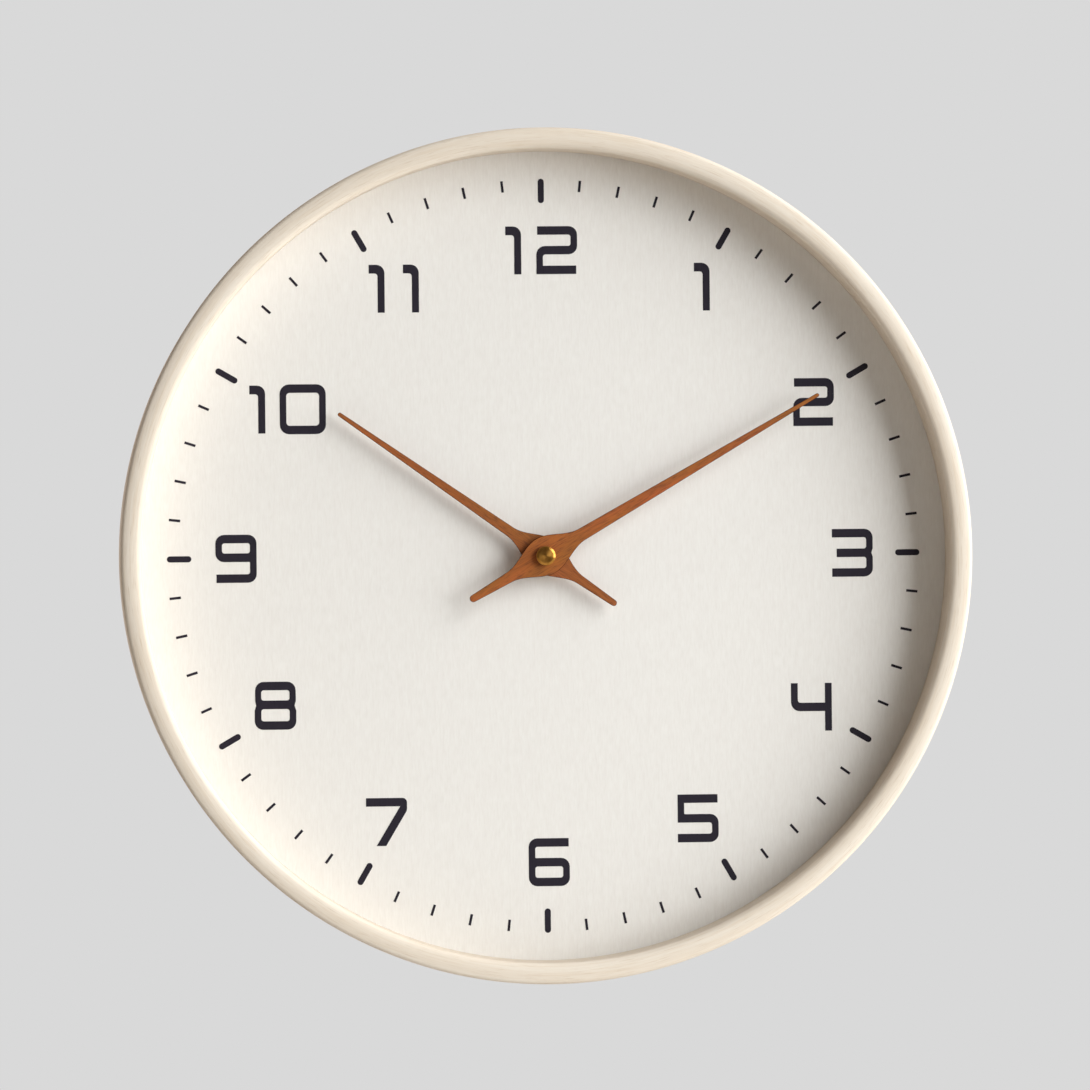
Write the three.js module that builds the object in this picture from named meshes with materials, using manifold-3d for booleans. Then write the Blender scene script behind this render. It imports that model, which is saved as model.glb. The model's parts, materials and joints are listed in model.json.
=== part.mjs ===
// Round wall clock in a bent-wood ring, driven by a battery quartz movement.
// Millimetres, +Z up. The front faces -Y and the wall plane is y = 0.
// The origin is the wall hook, at the top end of the keyhole in the hanger plate.
// Pieces are laid out about the dial axis, which runs along Y, HOOK_RISE below the hook.

import * as THREE from 'three';
import Module from 'manifold-3d';
import { mergeVertices } from 'three/addons/utils/BufferGeometryUtils.js';

// ---------------------------------------------------------------- driving dimensions

const HOOK_RISE = 118;            // hook above the dial axis

const RING_RADIUS = 150;
const RING_DEPTH = 46;
const LIP_RADIUS = 142.5;         // clear opening in front of the dial
const APEX_RADIUS = 146.6;        // front-most line of the ring's domed face
const FACE_ROUNDING = 11;
const CORNER_ROUNDING = 1.6;      // between the face and the ring's outer side
const RABBET_RADIUS = 145.2;      // inside of the ring behind the dial
const DIAL_RECESS = 20;           // from the front edge of the ring back to the dial
const RING_SEGMENTS = 72;
const DISC_SEGMENTS = 48;
const DISC_RADIUS = RABBET_RADIUS - 0.6;

const LAYER_GAP = 0.05;           // between pieces that lie face to face
const FIT = 0.05;                 // radial clearance of a shaft in its bore

const DIAL_FRONT = DIAL_RECESS - RING_DEPTH;
const FACE_THICKNESS = 0.4;
const BOARD_FRONT = DIAL_FRONT + FACE_THICKNESS + LAYER_GAP;
const BOARD_REAR = BOARD_FRONT + 3;
const PANEL_FRONT = -6;
const PANEL_REAR = -3;

const CASE = { left: -28, right: 28, bottom: -36, top: 20, front: -21.2, rear: -5.2 };
const CASE_WALL = 1.4;
const CASE_FLOOR = 1.2;
const GEAR_ROOM_BOTTOM = -16.8;
const BATTERY_ROOM_TOP = -18.2;

const BUSH_RADIUS = 3.95;         // threaded bush that holds the movement to the dial
const HOUR_PIPE_RADIUS = 2.5;
const MINUTE_ARBOR_RADIUS = 1.45;
const ARBOR_REAR_RADIUS = 1;
const THREAD_RADIUS = 1.2;
const PIVOT_RADIUS = 0.3;
const SPINDLE_RADIUS = 0.5;

const HAND_THICKNESS = 1.2;
const HOUR_HAND_FRONT = -31.4;
const MINUTE_HAND_FRONT = -33.9;
const HOUR_HAND_ANGLE = 305;      // degrees clockwise from twelve, at ten past ten
const MINUTE_HAND_ANGLE = 60;

const BATTERY = { radius: 7.1, left: -24.5, shoulder: 24.5, right: 25.5, y: -13.1, z: -26.4 };

// Front and rear face of each layer of wheels, from the dial towards the wall
const LAYER = {
  hour: [-19.5, -18.5],
  motion: [-18.1, -17.1],
  plate: [-16.7, -15.9],
  centre: [-15.55, -14.75],
  third: [-14.25, -13.45],
  second: [-13.1, -12.3],
  fifth: [-11.9, -11.1],
  magnet: [-10.9, -9.0],
  stator: [-10.45, -9.45],
  cover: [-6.6, -5.4],
};

// Tooth counts and modules of the meshing pairs
const TRAIN = {
  cannon: { teeth: 12, module: 0.5 },
  reverseWheel: { teeth: 36, module: 0.5 },
  reversePinion: { teeth: 12, module: 0.4 },
  hourWheel: { teeth: 48, module: 0.4 },
  knobPinion: { teeth: 12, module: 0.5 },
  centreWheel: { teeth: 60, module: 0.3 },
  thirdPinion: { teeth: 8, module: 0.3 },
  thirdWheel: { teeth: 64, module: 20.4 / 72 },
  secondPinion: { teeth: 8, module: 20.4 / 72 },
  secondWheel: { teeth: 60, module: 0.28 },
  fifthPinion: { teeth: 12, module: 0.28 },
  fifthWheel: { teeth: 60, module: 0.24 },
  rotorPinion: { teeth: 10, module: 0.24 },
};

const PRESSURE_ANGLE = THREE.MathUtils.degToRad(20);
const ADDENDUM = 0.85;
const DEDENDUM = 1.2;
const TOOTH_SHARE = 0.4;          // tooth thickness over circular pitch
const TIP_HALF_ANGLE = 0.004;     // least half angle of a pointed tooth tip

// ---------------------------------------------------------------- finishes

const PALE_WOOD = { color: 0xe8dac0, roughness: 0.55, metalness: 0 };
const BOARD = { color: 0xb08d62, roughness: 0.85, metalness: 0 };
const LINEN = { color: 0xefebe2, roughness: 0.9, metalness: 0 };
const WALNUT = { color: 0xa1602f, roughness: 0.5, metalness: 0 };
const BRASS = { color: 0xc9a65a, roughness: 0.3, metalness: 1 };
const STEEL = { color: 0xb4b7ba, roughness: 0.35, metalness: 1 };
const BLACK_PLASTIC = { color: 0x1d1e20, roughness: 0.5, metalness: 0 };
const WHITE_PLASTIC = { color: 0xe9e7e0, roughness: 0.45, metalness: 0 };
const RUBBER = { color: 0x202020, roughness: 0.9, metalness: 0 };
const COPPER = { color: 0xb5643a, roughness: 0.35, metalness: 1 };
const BOARD_GREEN = { color: 0x2c6b45, roughness: 0.5, metalness: 0 };
const BATTERY_SLEEVE = { color: 0x3f5f57, roughness: 0.35, metalness: 0.2 };
const MAGNET = { color: 0x4b4d50, roughness: 0.4, metalness: 0.8 };

// ---------------------------------------------------------------- shape helpers

const manifoldLibrary = await Module();
manifoldLibrary.setup();

const clock = new THREE.Group();
clock.position.z = -HOOK_RISE;

function addPiece(name, geometry, finish, place = [0, 0]) {
  const mesh = new THREE.Mesh(geometry, new THREE.MeshStandardMaterial(finish));
  mesh.name = name;
  mesh.position.set(place[0], 0, place[1]);
  clock.add(mesh);
  return mesh;
}

function polar(radius, degrees, from = [0, 0]) {
  const angle = THREE.MathUtils.degToRad(degrees);
  return [from[0] + radius * Math.cos(angle), from[1] + radius * Math.sin(angle)];
}

function arcPoints(centre, radius, startDegrees, endDegrees, steps) {
  const points = [];
  for (let step = 0; step <= steps; step += 1) {
    const degrees = startDegrees + (endDegrees - startDegrees) * step / steps;
    points.push(polar(radius, degrees, centre));
  }
  return points;
}

function circle(centre, radius, steps = 16) {
  return arcPoints(centre, radius, 0, 360, steps).slice(0, -1);
}

function roundedRectangle(left, bottom, right, top, radius, steps = 3) {
  return [
    ...arcPoints([right - radius, bottom + radius], radius, 270, 360, steps),
    ...arcPoints([right - radius, top - radius], radius, 0, 90, steps),
    ...arcPoints([left + radius, top - radius], radius, 90, 180, steps),
    ...arcPoints([left + radius, bottom + radius], radius, 180, 270, steps),
  ];
}

// A flat piece: an outline in X and Z, with holes, between two planes across Y
function plate(outline, front, rear, holes = []) {
  const toVectors = (points) => points.map(([x, z]) => new THREE.Vector2(x, z));
  const shape = new THREE.Shape(toVectors(outline));
  for (const hole of holes) shape.holes.push(new THREE.Path(toVectors(hole)));
  const geometry = new THREE.ExtrudeGeometry(shape, { depth: rear - front, bevelEnabled: false });
  geometry.rotateX(Math.PI / 2);
  geometry.translate(0, rear, 0);
  return geometry;
}

// A piece turned about Y from [radius, y] points; a hollow one closes on its first point
function lathe(profile, segments = 24) {
  return new THREE.LatheGeometry(profile.map(([radius, y]) => new THREE.Vector2(radius, y)), segments);
}

// A stepped piece turned about Y from [front, rear, radius] steps, with an optional bore
function turned(steps, bore = 0, segments = 24) {
  const profile = [[bore, steps[0][0]]];
  for (const [front, rear, radius] of steps) profile.push([radius, front], [radius, rear]);
  profile.push([bore, steps.at(-1)[1]]);
  if (bore > 0) profile.push(profile[0]);
  return lathe(profile, segments);
}

function toSolid(geometry) {
  const bare = geometry.clone();
  bare.deleteAttribute('normal');
  bare.deleteAttribute('uv');
  const merged = mergeVertices(bare, 1e-4);
  const corners = [];
  const index = merged.index.array;
  for (let i = 0; i < index.length; i += 3) {
    const [a, b, c] = [index[i], index[i + 1], index[i + 2]];
    if (a !== b && b !== c && c !== a) corners.push(a, b, c);
  }
  return new manifoldLibrary.Manifold(new manifoldLibrary.Mesh({
    numProp: 3,
    vertProperties: merged.attributes.position.array,
    triVerts: new Uint32Array(corners),
  }));
}

function toGeometry(solid) {
  const mesh = solid.getMesh();
  const geometry = new THREE.BufferGeometry();
  geometry.setAttribute('position', new THREE.BufferAttribute(mesh.vertProperties, 3));
  geometry.setIndex(new THREE.BufferAttribute(mesh.triVerts, 1));
  return geometry;
}

function join(...geometries) {
  return toGeometry(geometries.map(toSolid).reduce((whole, piece) => whole.add(piece)));
}

function cut(geometry, ...tools) {
  return toGeometry(tools.map(toSolid).reduce((whole, tool) => whole.subtract(tool), toSolid(geometry)));
}

function block(left, right, front, rear, bottom, top) {
  const geometry = new THREE.BoxGeometry(right - left, rear - front, top - bottom);
  return geometry.translate((left + right) / 2, (front + rear) / 2, (bottom + top) / 2);
}

// ---------------------------------------------------------------- gears

function involute(angle) {
  return Math.tan(angle) - angle;
}

function gearOutline({ teeth, module }, phase, flankSteps) {
  const pitchRadius = teeth * module / 2;
  const baseRadius = pitchRadius * Math.cos(PRESSURE_ANGLE);
  const rootRadius = pitchRadius - DEDENDUM * module;
  const tipRadius = pitchRadius + ADDENDUM * module;
  const flank = [];
  for (let step = 0; step <= flankSteps; step += 1) {
    const radius = THREE.MathUtils.lerp(rootRadius, tipRadius, step / flankSteps);
    const pressure = Math.acos(Math.min(1, baseRadius / radius));
    const halfAngle = TOOTH_SHARE * Math.PI / teeth + involute(PRESSURE_ANGLE) - involute(pressure);
    flank.push([radius, Math.max(TIP_HALF_ANGLE, halfAngle)]);
  }
  const points = [];
  for (let tooth = 0; tooth < teeth; tooth += 1) {
    const middle = phase + tooth * 2 * Math.PI / teeth;
    const degrees = (angle) => THREE.MathUtils.radToDeg(middle + angle);
    for (const [radius, halfAngle] of flank) points.push(polar(radius, degrees(-halfAngle)));
    for (const [radius, halfAngle] of flank.toReversed()) points.push(polar(radius, degrees(halfAngle)));
  }
  return points;
}

// Phase of a gear whose gap meets a tooth of the gear that it meshes with
function matingPhase(gear, mate, matePhase, matePlace, place) {
  const direction = Math.atan2(place[1] - matePlace[1], place[0] - matePlace[0]);
  const mateShare = (direction - matePhase) / (2 * Math.PI / mate.teeth);
  return direction + Math.PI - (0.5 - mateShare) * 2 * Math.PI / gear.teeth;
}

function centreDistance(gear, mate) {
  return (gear.teeth * gear.module + mate.teeth * mate.module) / 2;
}

const WHEEL_FLANK_STEPS = 1;
const PINION_FLANK_STEPS = 2;

const CENTRE = [0, 0];
const REVERSE = polar(centreDistance(TRAIN.cannon, TRAIN.reverseWheel), 150);
const KNOB = polar(centreDistance(TRAIN.reverseWheel, TRAIN.knobPinion), 210, REVERSE);
const THIRD = polar(centreDistance(TRAIN.centreWheel, TRAIN.thirdPinion), -40);
const FIFTH = polar(centreDistance(TRAIN.secondWheel, TRAIN.fifthPinion), 100);
const ROTOR = polar(centreDistance(TRAIN.fifthWheel, TRAIN.rotorPinion), 0, FIFTH);

function wheel(gear, phase, [front, rear], holes = []) {
  return plate(gearOutline(gear, phase, WHEEL_FLANK_STEPS), front, rear, holes);
}

function pinion(gear, phase, front, rear, holes = []) {
  return plate(gearOutline(gear, phase, PINION_FLANK_STEPS), front, rear, holes);
}

// ---------------------------------------------------------------- ring, dial and back

function addRing() {
  const faceCentre = [APEX_RADIUS, FACE_ROUNDING - RING_DEPTH];
  const lipAngle = THREE.MathUtils.radToDeg(Math.asin((APEX_RADIUS - LIP_RADIUS) / FACE_ROUNDING));
  const cornerReach = FACE_ROUNDING - CORNER_ROUNDING;
  const cornerOffset = RING_RADIUS - CORNER_ROUNDING - APEX_RADIUS;
  const cornerAngle = THREE.MathUtils.radToDeg(Math.asin(cornerOffset / cornerReach));
  const cornerCentre = polar(cornerReach, 270 + cornerAngle, faceCentre);
  const chamfer = 0.8;
  const lipRear = DIAL_FRONT - LAYER_GAP;
  const face = arcPoints(faceCentre, FACE_ROUNDING, 270 - lipAngle, 270 + cornerAngle, 4);
  const corner = arcPoints(cornerCentre, CORNER_ROUNDING, 270 + cornerAngle, 360, 3).slice(1);
  addPiece('frame_ring', lathe([
    ...face,
    ...corner,
    [RING_RADIUS, -chamfer],
    [RING_RADIUS - chamfer, 0],
    [RABBET_RADIUS, 0],
    [RABBET_RADIUS, lipRear],
    [LIP_RADIUS, lipRear],
    face[0],
  ], RING_SEGMENTS), PALE_WOOD);
}

function addDial() {
  const disc = circle(CENTRE, DISC_RADIUS, DISC_SEGMENTS);
  const shaftHole = circle(CENTRE, BUSH_RADIUS + 0.15, 24);
  addPiece('dial_face', plate(disc, DIAL_FRONT, DIAL_FRONT + FACE_THICKNESS, [shaftHole]), LINEN);
  addPiece('dial_board', plate(disc, BOARD_FRONT, BOARD_REAR, [shaftHole]), BOARD);
}

const BLOCK_RADIUS = 118;
const SCREW_RADIUS = 1.5;
const SCREW_CLEARANCE = 0.15;

function blockAngle(number) {
  return 45 + 90 * (number - 1);
}

const KEYHOLE = { head: 5, slot: 2.25, drop: 11 };
const HANGER_SCREW_PLACES = [[-14, HOOK_RISE - 6], [14, HOOK_RISE - 6]];

function addBackPanel() {
  const screwHoleRadius = SCREW_RADIUS + SCREW_CLEARANCE;
  const holes = [
    roundedRectangle(-35, -43, 35, 27, 6),
    roundedRectangle(-8, HOOK_RISE - 18, 8, HOOK_RISE + 6, 3),
    ...HANGER_SCREW_PLACES.map((place) => circle(place, screwHoleRadius, 12)),
  ];
  for (let number = 1; number <= 4; number += 1) {
    holes.push(circle(polar(BLOCK_RADIUS, blockAngle(number)), screwHoleRadius, 12));
  }
  const disc = circle(CENTRE, DISC_RADIUS, DISC_SEGMENTS);
  addPiece('back_panel', plate(disc, PANEL_FRONT, PANEL_REAR, holes), BOARD);
}

function screw(headFront, headRadius, shankLength) {
  const pointLength = 1.5;
  return lathe([
    [0, headFront - shankLength],
    [SCREW_RADIUS, headFront - shankLength + pointLength],
    [SCREW_RADIUS, headFront],
    [headRadius, headFront],
    [headRadius, headFront + 0.6],
    [headRadius * 0.72, headFront + 1.3],
    [0, headFront + 1.3],
  ], 8);
}

function addBlocksAndScrews() {
  const halfWidth = 13;
  const halfHeight = 7;
  for (let number = 1; number <= 4; number += 1) {
    const place = polar(BLOCK_RADIUS, blockAngle(number));
    const outline = roundedRectangle(-halfWidth, -halfHeight, halfWidth, halfHeight, 1, 1);
    const pilot = circle(CENTRE, SCREW_RADIUS + SCREW_CLEARANCE, 12);
    const front = BOARD_REAR + LAYER_GAP;
    const spacer = plate(outline, front, PANEL_FRONT - LAYER_GAP, [pilot]);
    const mesh = addPiece(`corner_block_${number}`, spacer, PALE_WOOD, place);
    mesh.rotation.y = THREE.MathUtils.degToRad(90 - blockAngle(number));
    addPiece(`panel_screw_${number}`, screw(PANEL_REAR + LAYER_GAP, 3.2, 14), STEEL, place);
  }
}

function addHanger() {
  const front = PANEL_REAR + LAYER_GAP;
  const rear = front + 1.2;
  const slotAngle = THREE.MathUtils.radToDeg(Math.asin(KEYHOLE.slot / KEYHOLE.head));
  const keyhole = [
    ...arcPoints([0, HOOK_RISE - KEYHOLE.drop], KEYHOLE.head, 90 + slotAngle, 450 - slotAngle, 14),
    ...arcPoints([0, HOOK_RISE], KEYHOLE.slot, 0, 180, 6),
  ];
  const screwHoles = HANGER_SCREW_PLACES.map((place) => circle(place, SCREW_RADIUS + SCREW_CLEARANCE, 12));
  const outline = roundedRectangle(-20, HOOK_RISE - 20, 20, HOOK_RISE + 8, 4);
  addPiece('hanger_plate', plate(outline, front, rear, [keyhole, ...screwHoles]), STEEL);
  HANGER_SCREW_PLACES.forEach((place, index) => {
    addPiece(`hanger_screw_${index + 1}`, screw(rear + LAYER_GAP, 2.9, 4.2), STEEL, place);
  });
}

// ---------------------------------------------------------------- movement case

const GEAR_ROOM = {
  left: CASE.left + CASE_WALL,
  right: CASE.right - CASE_WALL,
  bottom: GEAR_ROOM_BOTTOM,
  top: CASE.top - CASE_WALL,
};
const CASE_INNER_FRONT = CASE.front + CASE_FLOOR;
const PILLAR_PLACES = [[-24, 16], [24, 16], [-24, -14.2], [24, -14.2]];
const PLATE_MARGIN = 0.3;

function pivotHole(place) {
  return circle(place, PIVOT_RADIUS + 0.06, 12);
}

function gearRoomOutline() {
  return roundedRectangle(
    GEAR_ROOM.left + PLATE_MARGIN,
    GEAR_ROOM.bottom + PLATE_MARGIN,
    GEAR_ROOM.right - PLATE_MARGIN,
    GEAR_ROOM.top - PLATE_MARGIN,
    1.5,
    2,
  );
}

function addFrontCase() {
  const beyond = CASE.rear + 5;
  const shell = plate(
    roundedRectangle(CASE.left, CASE.bottom, CASE.right, CASE.top, 3),
    CASE.front,
    CASE.rear,
  );
  const gearRoom = plate(
    roundedRectangle(GEAR_ROOM.left, GEAR_ROOM.bottom, GEAR_ROOM.right, GEAR_ROOM.top, 1.6, 2),
    CASE_INNER_FRONT,
    beyond,
  );
  const batteryRoomBottom = CASE.bottom + CASE_WALL;
  const batteryRoom = plate(
    roundedRectangle(GEAR_ROOM.left, batteryRoomBottom, GEAR_ROOM.right, BATTERY_ROOM_TOP, 1.6, 2),
    CASE.front + 0.8,
    beyond,
  );
  const shaftHole = turned([[CASE.front - 1, CASE_INNER_FRONT + 1, BUSH_RADIUS + FIT]]);
  const hollow = cut(shell, gearRoom, batteryRoom, shaftHole);
  const intoFloor = CASE_INNER_FRONT - 0.3;
  const plateFront = LAYER.plate[0] - LAYER_GAP;
  const pillars = PILLAR_PLACES.map(([x, z]) => (
    turned([[intoFloor, plateFront, 1.5]], 0, 12).translate(x, 0, z)
  ));
  const reversePost = turned([[intoFloor, LAYER.motion[1] + 0.2, 0.75]], 0, 16);
  reversePost.translate(REVERSE[0], 0, REVERSE[1]);
  const knobCup = turned([[intoFloor, LAYER.motion[0] - 0.9, 1.7]], 0.8, 16).translate(KNOB[0], 0, KNOB[1]);
  addPiece('movement_front_case', join(hollow, ...pillars, reversePost, knobCup), BLACK_PLASTIC);
}

function addRearCover() {
  const [front, rear] = LAYER.cover;
  const knobHole = circle(KNOB, 1.3);
  const cover = plate(gearRoomOutline(), front, rear, [knobHole]);
  const bosses = [CENTRE, THIRD, FIFTH, ROTOR].map(([x, z]) => (
    turned([[front - 1, front + 0.2, 1.2]], 0, 12).translate(x, 0, z)
  ));
  const sockets = [CENTRE, THIRD, FIFTH, ROTOR].map(([x, z]) => (
    turned([[front - 2, front + 0.1, PIVOT_RADIUS + 0.06]], 0, 12).translate(x, 0, z)
  ));
  addPiece('movement_rear_cover', cut(join(cover, ...bosses), ...sockets), BLACK_PLASTIC);
}

function addTrainPlate() {
  const [front, rear] = LAYER.plate;
  const holes = [
    circle(CENTRE, ARBOR_REAR_RADIUS + FIT, 24),
    circle(KNOB, 1.3),
    pivotHole(THIRD),
    pivotHole(FIFTH),
    pivotHole(ROTOR),
  ];
  addPiece('train_plate', plate(gearRoomOutline(), front, rear, holes), WHITE_PLASTIC);
}

function addMovementFixing() {
  const flangeFront = CASE.front - 0.8;
  const flangeRear = CASE.front - LAYER_GAP;
  addPiece('threaded_bush', turned([
    [-29.2, flangeFront, BUSH_RADIUS],
    [flangeFront, flangeRear, 6],
    [flangeRear, CASE_INNER_FRONT - LAYER_GAP, BUSH_RADIUS],
  ], HOUR_PIPE_RADIUS + FIT), BRASS);
  addPiece('movement_gasket', turned([[BOARD_REAR + LAYER_GAP, CASE.front - LAYER_GAP, 9.5]], 6.3), RUBBER);
  const washerFront = DIAL_FRONT - 0.65;
  addPiece('bush_washer', turned([[washerFront, DIAL_FRONT - LAYER_GAP, 6]], BUSH_RADIUS + 0.1), BRASS);
  const nutRear = washerFront - LAYER_GAP;
  const acrossCorners = 11 / Math.cos(Math.PI / 6);
  const hexagon = circle(CENTRE, acrossCorners / 2, 6);
  addPiece('bush_nut', plate(hexagon, nutRear - 2, nutRear, [circle(CENTRE, BUSH_RADIUS + FIT, 24)]), BRASS);
}

// ---------------------------------------------------------------- hands

// Half width of a hand's hub above its arm: a smooth swelling that fades out at HUB_REACH
const HUB_SWELL = 4.35;
const HUB_REACH = 15;

function handOutline({ tip, tail, armHalf, tipHalf, tailHalf, tailEndHalf }) {
  const swell = (distance) => (
    distance < HUB_REACH ? HUB_SWELL * Math.cos(Math.PI * distance / (2 * HUB_REACH)) ** 2 : 0
  );
  const side = (length, startHalf, endHalf) => {
    const points = [];
    const hubSteps = 6;
    for (let step = 0; step <= hubSteps; step += 1) {
      const distance = HUB_REACH * step / hubSteps;
      points.push([startHalf + (endHalf - startHalf) * distance / length + swell(distance), distance]);
    }
    return points;
  };
  const armSide = side(tip, armHalf, tipHalf);
  const tailSide = side(tail, tailHalf, tailEndHalf).slice(1).map(([half, distance]) => [half, -distance]);
  const tipEnd = arcPoints([0, tip - tipHalf], tipHalf, 0, 180, 4);
  const tailEnd = arcPoints([0, tailEndHalf - tail], tailEndHalf, 180, 360, 6);
  const mirrored = (points) => points.map(([half, along]) => [-half, along]);
  return [
    ...tailSide.toReversed(),
    ...armSide,
    ...tipEnd,
    ...mirrored(armSide).toReversed(),
    ...mirrored(tailSide),
    ...tailEnd,
  ];
}

const HOUR_HAND = { tip: 88.4, tail: 31, armHalf: 2.1, tipHalf: 0.85, tailHalf: 2.1, tailEndHalf: 1.1 };
const MINUTE_HAND = { tip: 112, tail: 30.8, armHalf: 2.48, tipHalf: 0.85, tailHalf: 2.5, tailEndHalf: 1.25 };

function addHand(name, hand, front, angle, sleeveRadius) {
  const hole = circle(CENTRE, sleeveRadius + FIT, 24);
  const mesh = addPiece(name, plate(handOutline(hand), front, front + HAND_THICKNESS, [hole]), WALNUT);
  mesh.rotation.y = THREE.MathUtils.degToRad(angle);
}

// A brass sleeve through the hub of a hand, with a flange behind it
function addHandBush(name, handFront, sleeveRadius, flangeRadius, bore) {
  const handRear = handFront + HAND_THICKNESS;
  addPiece(name, turned([
    [handFront + LAYER_GAP, handRear + LAYER_GAP, sleeveRadius],
    [handRear + LAYER_GAP, handRear + 0.8, flangeRadius],
  ], bore + FIT, 16), BRASS);
}

const NUT_RADIUS = 3.5;

function addHandNut() {
  const rear = MINUTE_HAND_FRONT - LAYER_GAP;
  const front = rear - 2.45;
  const bore = THREAD_RADIUS + FIT;
  addPiece('hand_nut', lathe([
    [0, front],
    [NUT_RADIUS - 0.6, front],
    [NUT_RADIUS, front + 0.6],
    [NUT_RADIUS, rear],
    [bore, rear],
    [bore, front + 0.4],
    [0, front + 0.4],
  ], 16), BRASS);
}

// ---------------------------------------------------------------- motion work

function addMotionWork() {
  const cannonPhase = 0;
  const reversePhase = matingPhase(TRAIN.reverseWheel, TRAIN.cannon, cannonPhase, CENTRE, REVERSE);
  const knobPhase = matingPhase(TRAIN.knobPinion, TRAIN.reverseWheel, reversePhase, REVERSE, KNOB);
  const hourPhase = 0;
  const reversePinionPhase = matingPhase(TRAIN.reversePinion, TRAIN.hourWheel, hourPhase, CENTRE, REVERSE);
  const [motionFront, motionRear] = LAYER.motion;
  const [hourFront, hourRear] = LAYER.hour;

  const arborFront = MINUTE_HAND_FRONT - LAYER_GAP - 2;
  const collarFront = LAYER.centre[1] + 0.1;
  const arborRear = collarFront + 0.25;
  const socket = turned([[arborRear - 0.7, arborRear + 1, PIVOT_RADIUS + 0.06]], 0, 12);
  const arbor = turned([
    [arborFront, MINUTE_HAND_FRONT, THREAD_RADIUS],
    [MINUTE_HAND_FRONT, motionFront - 0.3, MINUTE_ARBOR_RADIUS],
    [motionFront - 0.3, collarFront, ARBOR_REAR_RADIUS],
    [collarFront, arborRear, 1.5],
  ]);
  addPiece('minute_arbor', cut(arbor, socket), STEEL);

  const cannonBore = circle(CENTRE, ARBOR_REAR_RADIUS + FIT);
  addPiece('cannon_pinion', pinion(TRAIN.cannon, cannonPhase, motionFront, motionRear, [cannonBore]), BRASS);

  const pipeBore = MINUTE_ARBOR_RADIUS + FIT;
  const hourDisc = wheel(TRAIN.hourWheel, hourPhase, LAYER.hour, [circle(CENTRE, 2, 24)]);
  const pipe = turned([[HOUR_HAND_FRONT, hourRear, HOUR_PIPE_RADIUS]], pipeBore);
  addPiece('hour_wheel', join(hourDisc, pipe), WHITE_PLASTIC);

  const postBore = [circle(CENTRE, 0.8)];
  addPiece('reverse_wheel', join(
    wheel(TRAIN.reverseWheel, reversePhase, LAYER.motion, postBore),
    pinion(TRAIN.reversePinion, reversePinionPhase, hourFront, motionFront + 0.3, postBore),
  ), WHITE_PLASTIC, REVERSE);

  const knobFront = CASE.rear + 0.05;
  addPiece('set_knob', join(
    pinion(TRAIN.knobPinion, knobPhase, motionFront, motionRear),
    turned([
      [hourFront - 0.2, motionFront + 0.2, 0.72],
      [motionFront + 0.2, knobFront, 1.2],
      [knobFront, -1.8, 6],
    ]),
  ), BLACK_PLASTIC, KNOB);
}

// ---------------------------------------------------------------- going train

const PIVOT_FRONT = LAYER.plate[0] + 0.1;
const PIVOT_REAR = LAYER.cover[0] - 0.1;
const SPINDLE_REAR = LAYER.cover[0] - 1.1;

function spindle(front, radius) {
  return turned([
    [PIVOT_FRONT, LAYER.plate[1] + 0.1, PIVOT_RADIUS],
    [LAYER.plate[1] + 0.1, front, radius],
    [front, SPINDLE_REAR, SPINDLE_RADIUS],
    [SPINDLE_REAR, PIVOT_REAR, PIVOT_RADIUS],
  ], 0, 12);
}

function addGoingTrain() {
  const centrePhase = 0;
  const thirdPinionPhase = matingPhase(TRAIN.thirdPinion, TRAIN.centreWheel, centrePhase, CENTRE, THIRD);
  const thirdPhase = 0;
  const secondPinionPhase = matingPhase(TRAIN.secondPinion, TRAIN.thirdWheel, thirdPhase, THIRD, CENTRE);
  const secondPhase = 0;
  const fifthPinionPhase = matingPhase(TRAIN.fifthPinion, TRAIN.secondWheel, secondPhase, CENTRE, FIFTH);
  const fifthPhase = 0;
  const rotorPhase = matingPhase(TRAIN.rotorPinion, TRAIN.fifthWheel, fifthPhase, FIFTH, ROTOR);

  const centreBore = [circle(CENTRE, ARBOR_REAR_RADIUS + FIT, 24)];
  addPiece('centre_wheel', wheel(TRAIN.centreWheel, centrePhase, LAYER.centre, centreBore), BRASS);

  addPiece('third_wheel', join(
    spindle(LAYER.centre[0], 0.4),
    pinion(TRAIN.thirdPinion, thirdPinionPhase, LAYER.centre[0] - 0.1, LAYER.third[0] + 0.2),
    wheel(TRAIN.thirdWheel, thirdPhase, LAYER.third),
  ), WHITE_PLASTIC, THIRD);

  const secondPinionFront = LAYER.third[0] + 0.1;
  addPiece('second_wheel', join(
    turned([
      [LAYER.centre[1] - 0.1, secondPinionFront, PIVOT_RADIUS],
      [secondPinionFront, SPINDLE_REAR, SPINDLE_RADIUS],
      [SPINDLE_REAR, PIVOT_REAR, PIVOT_RADIUS],
    ], 0, 12),
    pinion(TRAIN.secondPinion, secondPinionPhase, secondPinionFront, LAYER.second[0] + 0.2),
    wheel(TRAIN.secondWheel, secondPhase, LAYER.second),
  ), WHITE_PLASTIC, CENTRE);

  addPiece('fifth_wheel', join(
    spindle(LAYER.second[0], 0.4),
    pinion(TRAIN.fifthPinion, fifthPinionPhase, LAYER.second[0] - 0.1, LAYER.fifth[0] + 0.2),
    wheel(TRAIN.fifthWheel, fifthPhase, LAYER.fifth),
  ), WHITE_PLASTIC, FIFTH);

  addPiece('rotor_pinion', join(
    spindle(LAYER.second[0], 0.4),
    pinion(TRAIN.rotorPinion, rotorPhase, LAYER.fifth[0] - 0.1, LAYER.fifth[1] + 0.1),
  ), WHITE_PLASTIC, ROTOR);
  addPiece('rotor_magnet', turned([[...LAYER.magnet, 2.6]], SPINDLE_RADIUS + FIT), MAGNET, ROTOR);
}

// ---------------------------------------------------------------- motor and electronics

const COIL = { x: 22.3, y: -11, bottom: -9.5, top: 8.5, coreBottom: -13.1, coreTop: 12.6 };

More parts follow.
